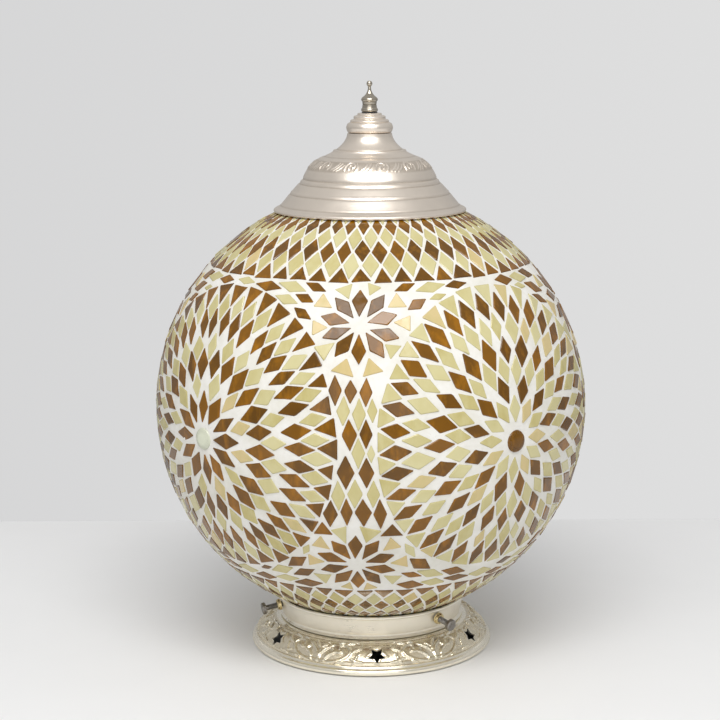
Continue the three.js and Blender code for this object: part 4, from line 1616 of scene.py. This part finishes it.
@dataclass
class Globe:
    """The clear glass globe under the coat, with the crossbar and rod in its upper opening."""

    radius: float = 147.0
    wall: float = 2.6
    opening: float = 45.0
    neck: float = 56.0
    neck_bottom: float = 21.0

    def arc(self, radius: float, neck: float) -> list[Point]:
        """The globe's wall from its neck to its opening."""
        low, high = -math.acos(neck / radius), math.acos(self.opening / radius)
        return [
            (radius * math.cos(a), GLOBE_CENTRE + radius * math.sin(a)) for a in np.linspace(low, high, 90)
        ]

    def build(self) -> None:
        """Makes the glass, the rod and its fittings."""
        outer = self.arc(self.radius, self.neck)
        inner = self.arc(self.radius - self.wall, self.neck - self.wall)
        foot = [
            (self.neck - self.wall + 0.5, self.neck_bottom), (self.neck - 0.5, self.neck_bottom),
            (self.neck, 21.5)
        ]
        outline = np.array([*foot, *outer, *inner[::-1], (self.neck - self.wall, 21.5)])
        fit(
            Turning("blown_globe", outline, 192).build(), Finish.CLEAR_GLASS, "globe", "clear_glass",
            "glass_globe"
        )

        rod = trace(
            (0, 296), (0.6, (1.5, 296)), (0.3, (1.84, 296.5)), (0.14, (1.84, 379.5)), (0.3, (1.5, 380)),
            (0.6, (0, 380)),
        )
        thread = Thread(296.6, 379.4, M4_PITCH, 0.16)
        turned("threaded_rod", rod, Finish.STEEL, "globe", "steel", "cap_rod", 32, thread)
        dress_nodes(Finish.STEEL, "crossbar", "rod_nut_lower", "rod_nut_upper")
        dress_nodes(Finish.RUBBER, "crossbar_pad_1", "crossbar_pad_2")


@dataclass
class LampHolder:
    """The nipple with its nuts and washers, and the lampholder on it."""

    ring_height: float = 63.0
    rib_count: int = 30

    def ribs(self, azimuth: np.ndarray, height: np.ndarray) -> np.ndarray:
        """Grip ribs round the holder's ring."""
        on_ring = np.abs(height - self.ring_height) < 2.0
        return on_ring * 0.35 * np.abs(np.sin(np.pi * azimuth * self.rib_count / 360))

    def sleeve_thread(self, azimuth: np.ndarray, height: np.ndarray) -> np.ndarray:
        """The shallow outer thread that the ring runs on."""
        fade = np.clip(np.minimum(height - 67, 79 - height) / 1.0, 0, 1)
        return -0.2 * fade * (0.5 + 0.5 * np.cos(2 * np.pi * (height / 2.6 - azimuth / 360)))

    def fixings(self) -> None:
        """Makes the nipple and the washers on it."""
        nipple = trace(
            (3.6, 9), (0.5, (4.3, 9)), (0.3, (4.5, 9.5)), (0.2, (4.5, 39.5)), (0.3, (4.3, 40)),
            (0.5, (3.4, 40)), (2, (3.4, 9)),
        )[:-1]
        thread = Thread(9.6, 39.4, 1.0, 0.2)
        piece = Turning("threaded_nipple", nipple, 64, ripple=thread).build()
        fit(piece, Finish.BRASS, "base", "brass", "nipple")
        for node, low, high in (("washer_lower", 16.6, 17.8), ("washer_upper", 20.8, 21.8)):
            washer = trace(
                (5.1, low), (1.5, (10.8, low)), (0.3, (11, low + 0.3), (11, high - 0.3), (10.8, high)),
                (1.5, (5.1, high)), (0.6, (5.1, low)),
            )
            turned(f"plain_{node}", washer, Finish.STEEL, "base", "steel", node)

    def build(self) -> None:
        """Makes the holder."""
        self.fixings()
        dome = trace(
            (5.1, 26.5), (1, (7.7, 26.5)), (0.6, (8, 26.9), (8, 31.4)),
            (0.6, (9.4, 32.6), (15, 35.4), (18.6, 37.4), (19.5, 39)), (1, (19.5, 46)), (0.8, (18, 46)),
            (1, (18, 39.4), (14, 37.2), (8, 34), (5.1, 34)), (2, (5.1, 26.5)),
        )
        sleeve = trace(
            (17.7, 46.3), (0.6, (19.0, 46.3)), (0.3, (19.3, 46.7)), (0.6, (19.3, 79)),
            (0.3, (19.1, 79.8), (18.5, 80)), (0.5, (17.7, 80)), (3, (17.7, 46.3)),
        )
        shell = trace(
            (6, 55.5), (1.5, (14.4, 55.5)), (0.3, (14.7, 56)), (0.4, (14.7, 79)), (0.4, (14.0, 79)),
            (0.4, (14.0, 56.5)), (1.5, (6, 56.5)), (0.6, (6, 55.5)),
        )
        ring = trace(
            (19.7, 60), (0.4, (22.4, 60.2), (22.7, 60.9)), (0.4, (22.7, 65.1)),
            (0.4, (22.4, 65.8), (19.7, 66)), (1.5, (19.7, 60)),
        )
        turned("holder_dome", dome, Finish.HOLDER, "base", "holder_plastic", "holder_cap", 96)
        turned("holder_sleeve", sleeve, Finish.HOLDER, "base", "holder_plastic", "holder_body", 96,
               self.sleeve_thread)
        turned("thread_shell", shell, Finish.BRASS, "base", "brass", "holder_thread_shell", 96)
        turned("ribbed_ring", ring, Finish.HOLDER, "base", "holder_plastic", "holder_ring", 180, self.ribs)
        dress_nodes(
            Finish.BRASS, "nut_lower", "nut_upper", "terminal_screw_1", "terminal_screw_2",
            "centre_contact"
        )
        dress_nodes(Finish.CERAMIC, "holder_insulator")


@dataclass
class Bulb:
    """A lamp bulb with an opal cover, a moulded housing and a rolled screw cap."""

    dome_centre: float = 130.0
    dome_radius: float = 30.0
    dome_rise: float = 38.0
    dome_foot: float = 118.4
    thread_pitch: float = 3.6

    def dome(self) -> np.ndarray:
        """The cover's outline: its inner face from the axis down, then its outer face back up."""
        start = math.asin((self.dome_foot - self.dome_centre) / self.dome_rise)
        angles = np.linspace(start, math.pi / 2, 48)
        outer = [
            (self.dome_radius * math.cos(a), self.dome_centre + self.dome_rise * math.sin(a)) for a in angles
        ]
        inner = [(r * 0.96, self.dome_centre + (z - self.dome_centre) * 0.968) for r, z in outer[::-1]]
        outer[-1], inner[0] = (0.0, outer[-1][1]), (0.0, inner[0][1])
        inner[-1] = (inner[-1][0], self.dome_foot)
        return np.vstack([inner, outer])

    def build(self) -> None:
        """Makes the bulb."""
        turned("opal_cover", self.dome(), Finish.OPAL, "bulb", "opal", "bulb_diffuser", 96)
        housing = trace(
            (12.3, 86.4), (0.6, (14.0, 86.3)),
            (0.8, (14.6, 88.6), (15.5, 92), (18, 98.4), (21.2, 104.2), (26.8, 113), (28.3, 116.6)),
            (0.3, (28.4, 117.6), (27.9, 118), (27.0, 118)),
            (1.5, (25.4, 113.5), (12.3, 90), (12.3, 86.4)),
        )
        turned("moulded_housing", housing, Finish.HOLDER, "bulb", "holder_plastic", "bulb_housing", 120)
        cap = trace(
            (4, 66.3), (0.5, (11.8, 66.3), (12.6, 66.7), (12.9, 67.6)), (0.35, (12.9, 85.8)),
            (0.3, (12.4, 86)), (1.5, (12.4, 67.4)), (1.5, (4, 67.2)), (0.5, (4, 66.3)),
        )
        thread = Thread(68, 83.5, self.thread_pitch, 0.3, 1.2)
        turned("rolled_screw_cap", cap, Finish.STEEL, "bulb", "steel", "bulb_screw_cap", 96, thread)
        glaze = trace(
            (0, 62.3), (1, (4.8, 62.3)), (0.5, (7, 63.0), (10.6, 64.8), (11.8, 66)), (2, (0, 66)),
        )
        turned("cap_insulator", glaze, Finish.RUBBER, "bulb", "rubber", "bulb_insulator", 64)
        contact = trace(
            (0, 60.2), (0.3, (2.4, 60.3), (3.8, 60.9), (4.4, 61.7), (4.3, 62)), (1, (0, 62)),
        )
        turned("cap_contact", contact, Finish.STEEL, "bulb", "steel", "bulb_contact", 48)
        dress_nodes(Finish.STEEL, "bulb_led_board")


# --------------------------------------------------------------------------------------------------
# The stage


@dataclass
class Studio:
    """A pale table top against a plain light grey, soft light from above the front, and the camera."""

    camera_place: tuple[float, float, float] = (0.0, -1.240, 0.430)
    lens: float = 90.0
    pitch: float = 10.41
    yaw: float = 0.29
    roll: float = 0.26
    floor_back: float = 0.311
    floor_side: float = 2.6
    floor_front: float = 2.6

    def floor(self) -> None:
        """Makes the table top, with its far edge behind the lamp."""
        corners = [(-self.floor_side, -self.floor_front, 0), (self.floor_side, -self.floor_front, 0),
                   (self.floor_side, self.floor_back, 0), (-self.floor_side, self.floor_back, 0)]
        mesh = bpy.data.meshes.new("table_top")
        mesh.from_pydata(corners, [], [(0, 1, 2, 3)])
        top = object_of("table_top", mesh)
        shader = Shader("pale_table_top")
        cloud = EFFECTS.mask(shader, Effect.MOTTLE, Scale=3.0, Contrast=0.6)
        shader.set(
            Base_Color=shader.blend(shader.spread(cloud, 0.2, 0.8), (0.84, 0.84, 0.84), (0.87, 0.87, 0.87))
        )
        shader.set(Roughness=0.55, Specular_IOR_Level=0.3)
        mesh.materials.append(shader.material)

    def sky(self) -> None:
        """Makes the room's light: a plain pale ground to look at, and a brighter ceiling to be lit by."""
        world = bpy.data.worlds.new("studio")
        bpy.context.scene.world = world
        world.use_nodes = True
        board = Board(world.node_tree)
        world.node_tree.nodes.clear()
        way = board.node("SeparateXYZ", {0: board.node("TexCoord").outputs["Generated"]})
        rise = board.spread(way.outputs[2], -0.1, 0.8)
        room = board.blend(rise, (0.37, 0.37, 0.37), (0.56, 0.56, 0.56))
        side = board.spread(way.outputs[0], -0.35, 0.2)
        ground = board.blend(side, (0.655, 0.655, 0.66), (0.735, 0.735, 0.735))
        seen = board.node("LightPath").outputs["Is Camera Ray"]
        colour = board.blend(seen, room, ground)
        back = board.node("Background", {"Color": colour, "Strength": 1.0})
        out = board.node("OutputWorld")
        board.tree.links.new(back.outputs[0], out.inputs["Surface"])

    def lamp(self, name: str, place: Vector, aim: Vector, size: Point, power: float) -> None:
        """Hangs one soft light."""
        light = bpy.data.lights.new(name, "AREA")
        light.shape, light.size, light.size_y, light.energy = "RECTANGLE", size[0], size[1], power
        hung = bpy.data.objects.new(name, light)
        hung.location = place
        hung.rotation_euler = (aim - place).to_track_quat("-Z", "Y").to_euler()
        bpy.context.scene.collection.objects.link(hung)

    def camera(self) -> None:
        """Places the camera."""
        lens = bpy.data.cameras.new("camera")
        lens.lens, lens.sensor_width, lens.clip_start = self.lens, 36.0, 0.05
        made = bpy.data.objects.new("camera", lens)
        made.location = self.camera_place
        made.rotation_euler = ((90 - self.pitch) * DEGREE, self.roll * DEGREE, self.yaw * DEGREE)
        bpy.context.scene.collection.objects.link(made)
        bpy.context.scene.camera = made

    def build(self) -> None:
        """Makes the stage."""
        self.camera()
        self.floor()
        self.sky()
        middle = Vector((0, 0, 0.2))
        self.lamp("key", Vector((-0.02, -1.0, 1.5)), middle, (1.5, 0.7), 14)
        self.lamp("window", Vector((0.02, -0.98, 1.48)), middle, (0.9, 0.4), 6)
        self.lamp("fill", Vector((0, -2.2, 0.62)), middle, (2.2, 0.7), 6)
        scene = bpy.context.scene
        scene.view_settings.view_transform = "Standard"
        scene.view_settings.look = "None"


def main() -> None:
    """Builds the lamp and its stage."""
    logging.basicConfig(level=logging.INFO, format="%(message)s", stream=sys.stdout)
    Studio().build()
    Mosaic().build()
    Globe().build()
    Foot().build()
    Cap().build()
    LampHolder().build()
    Bulb().build()


if __name__ == "__main__":
    main()
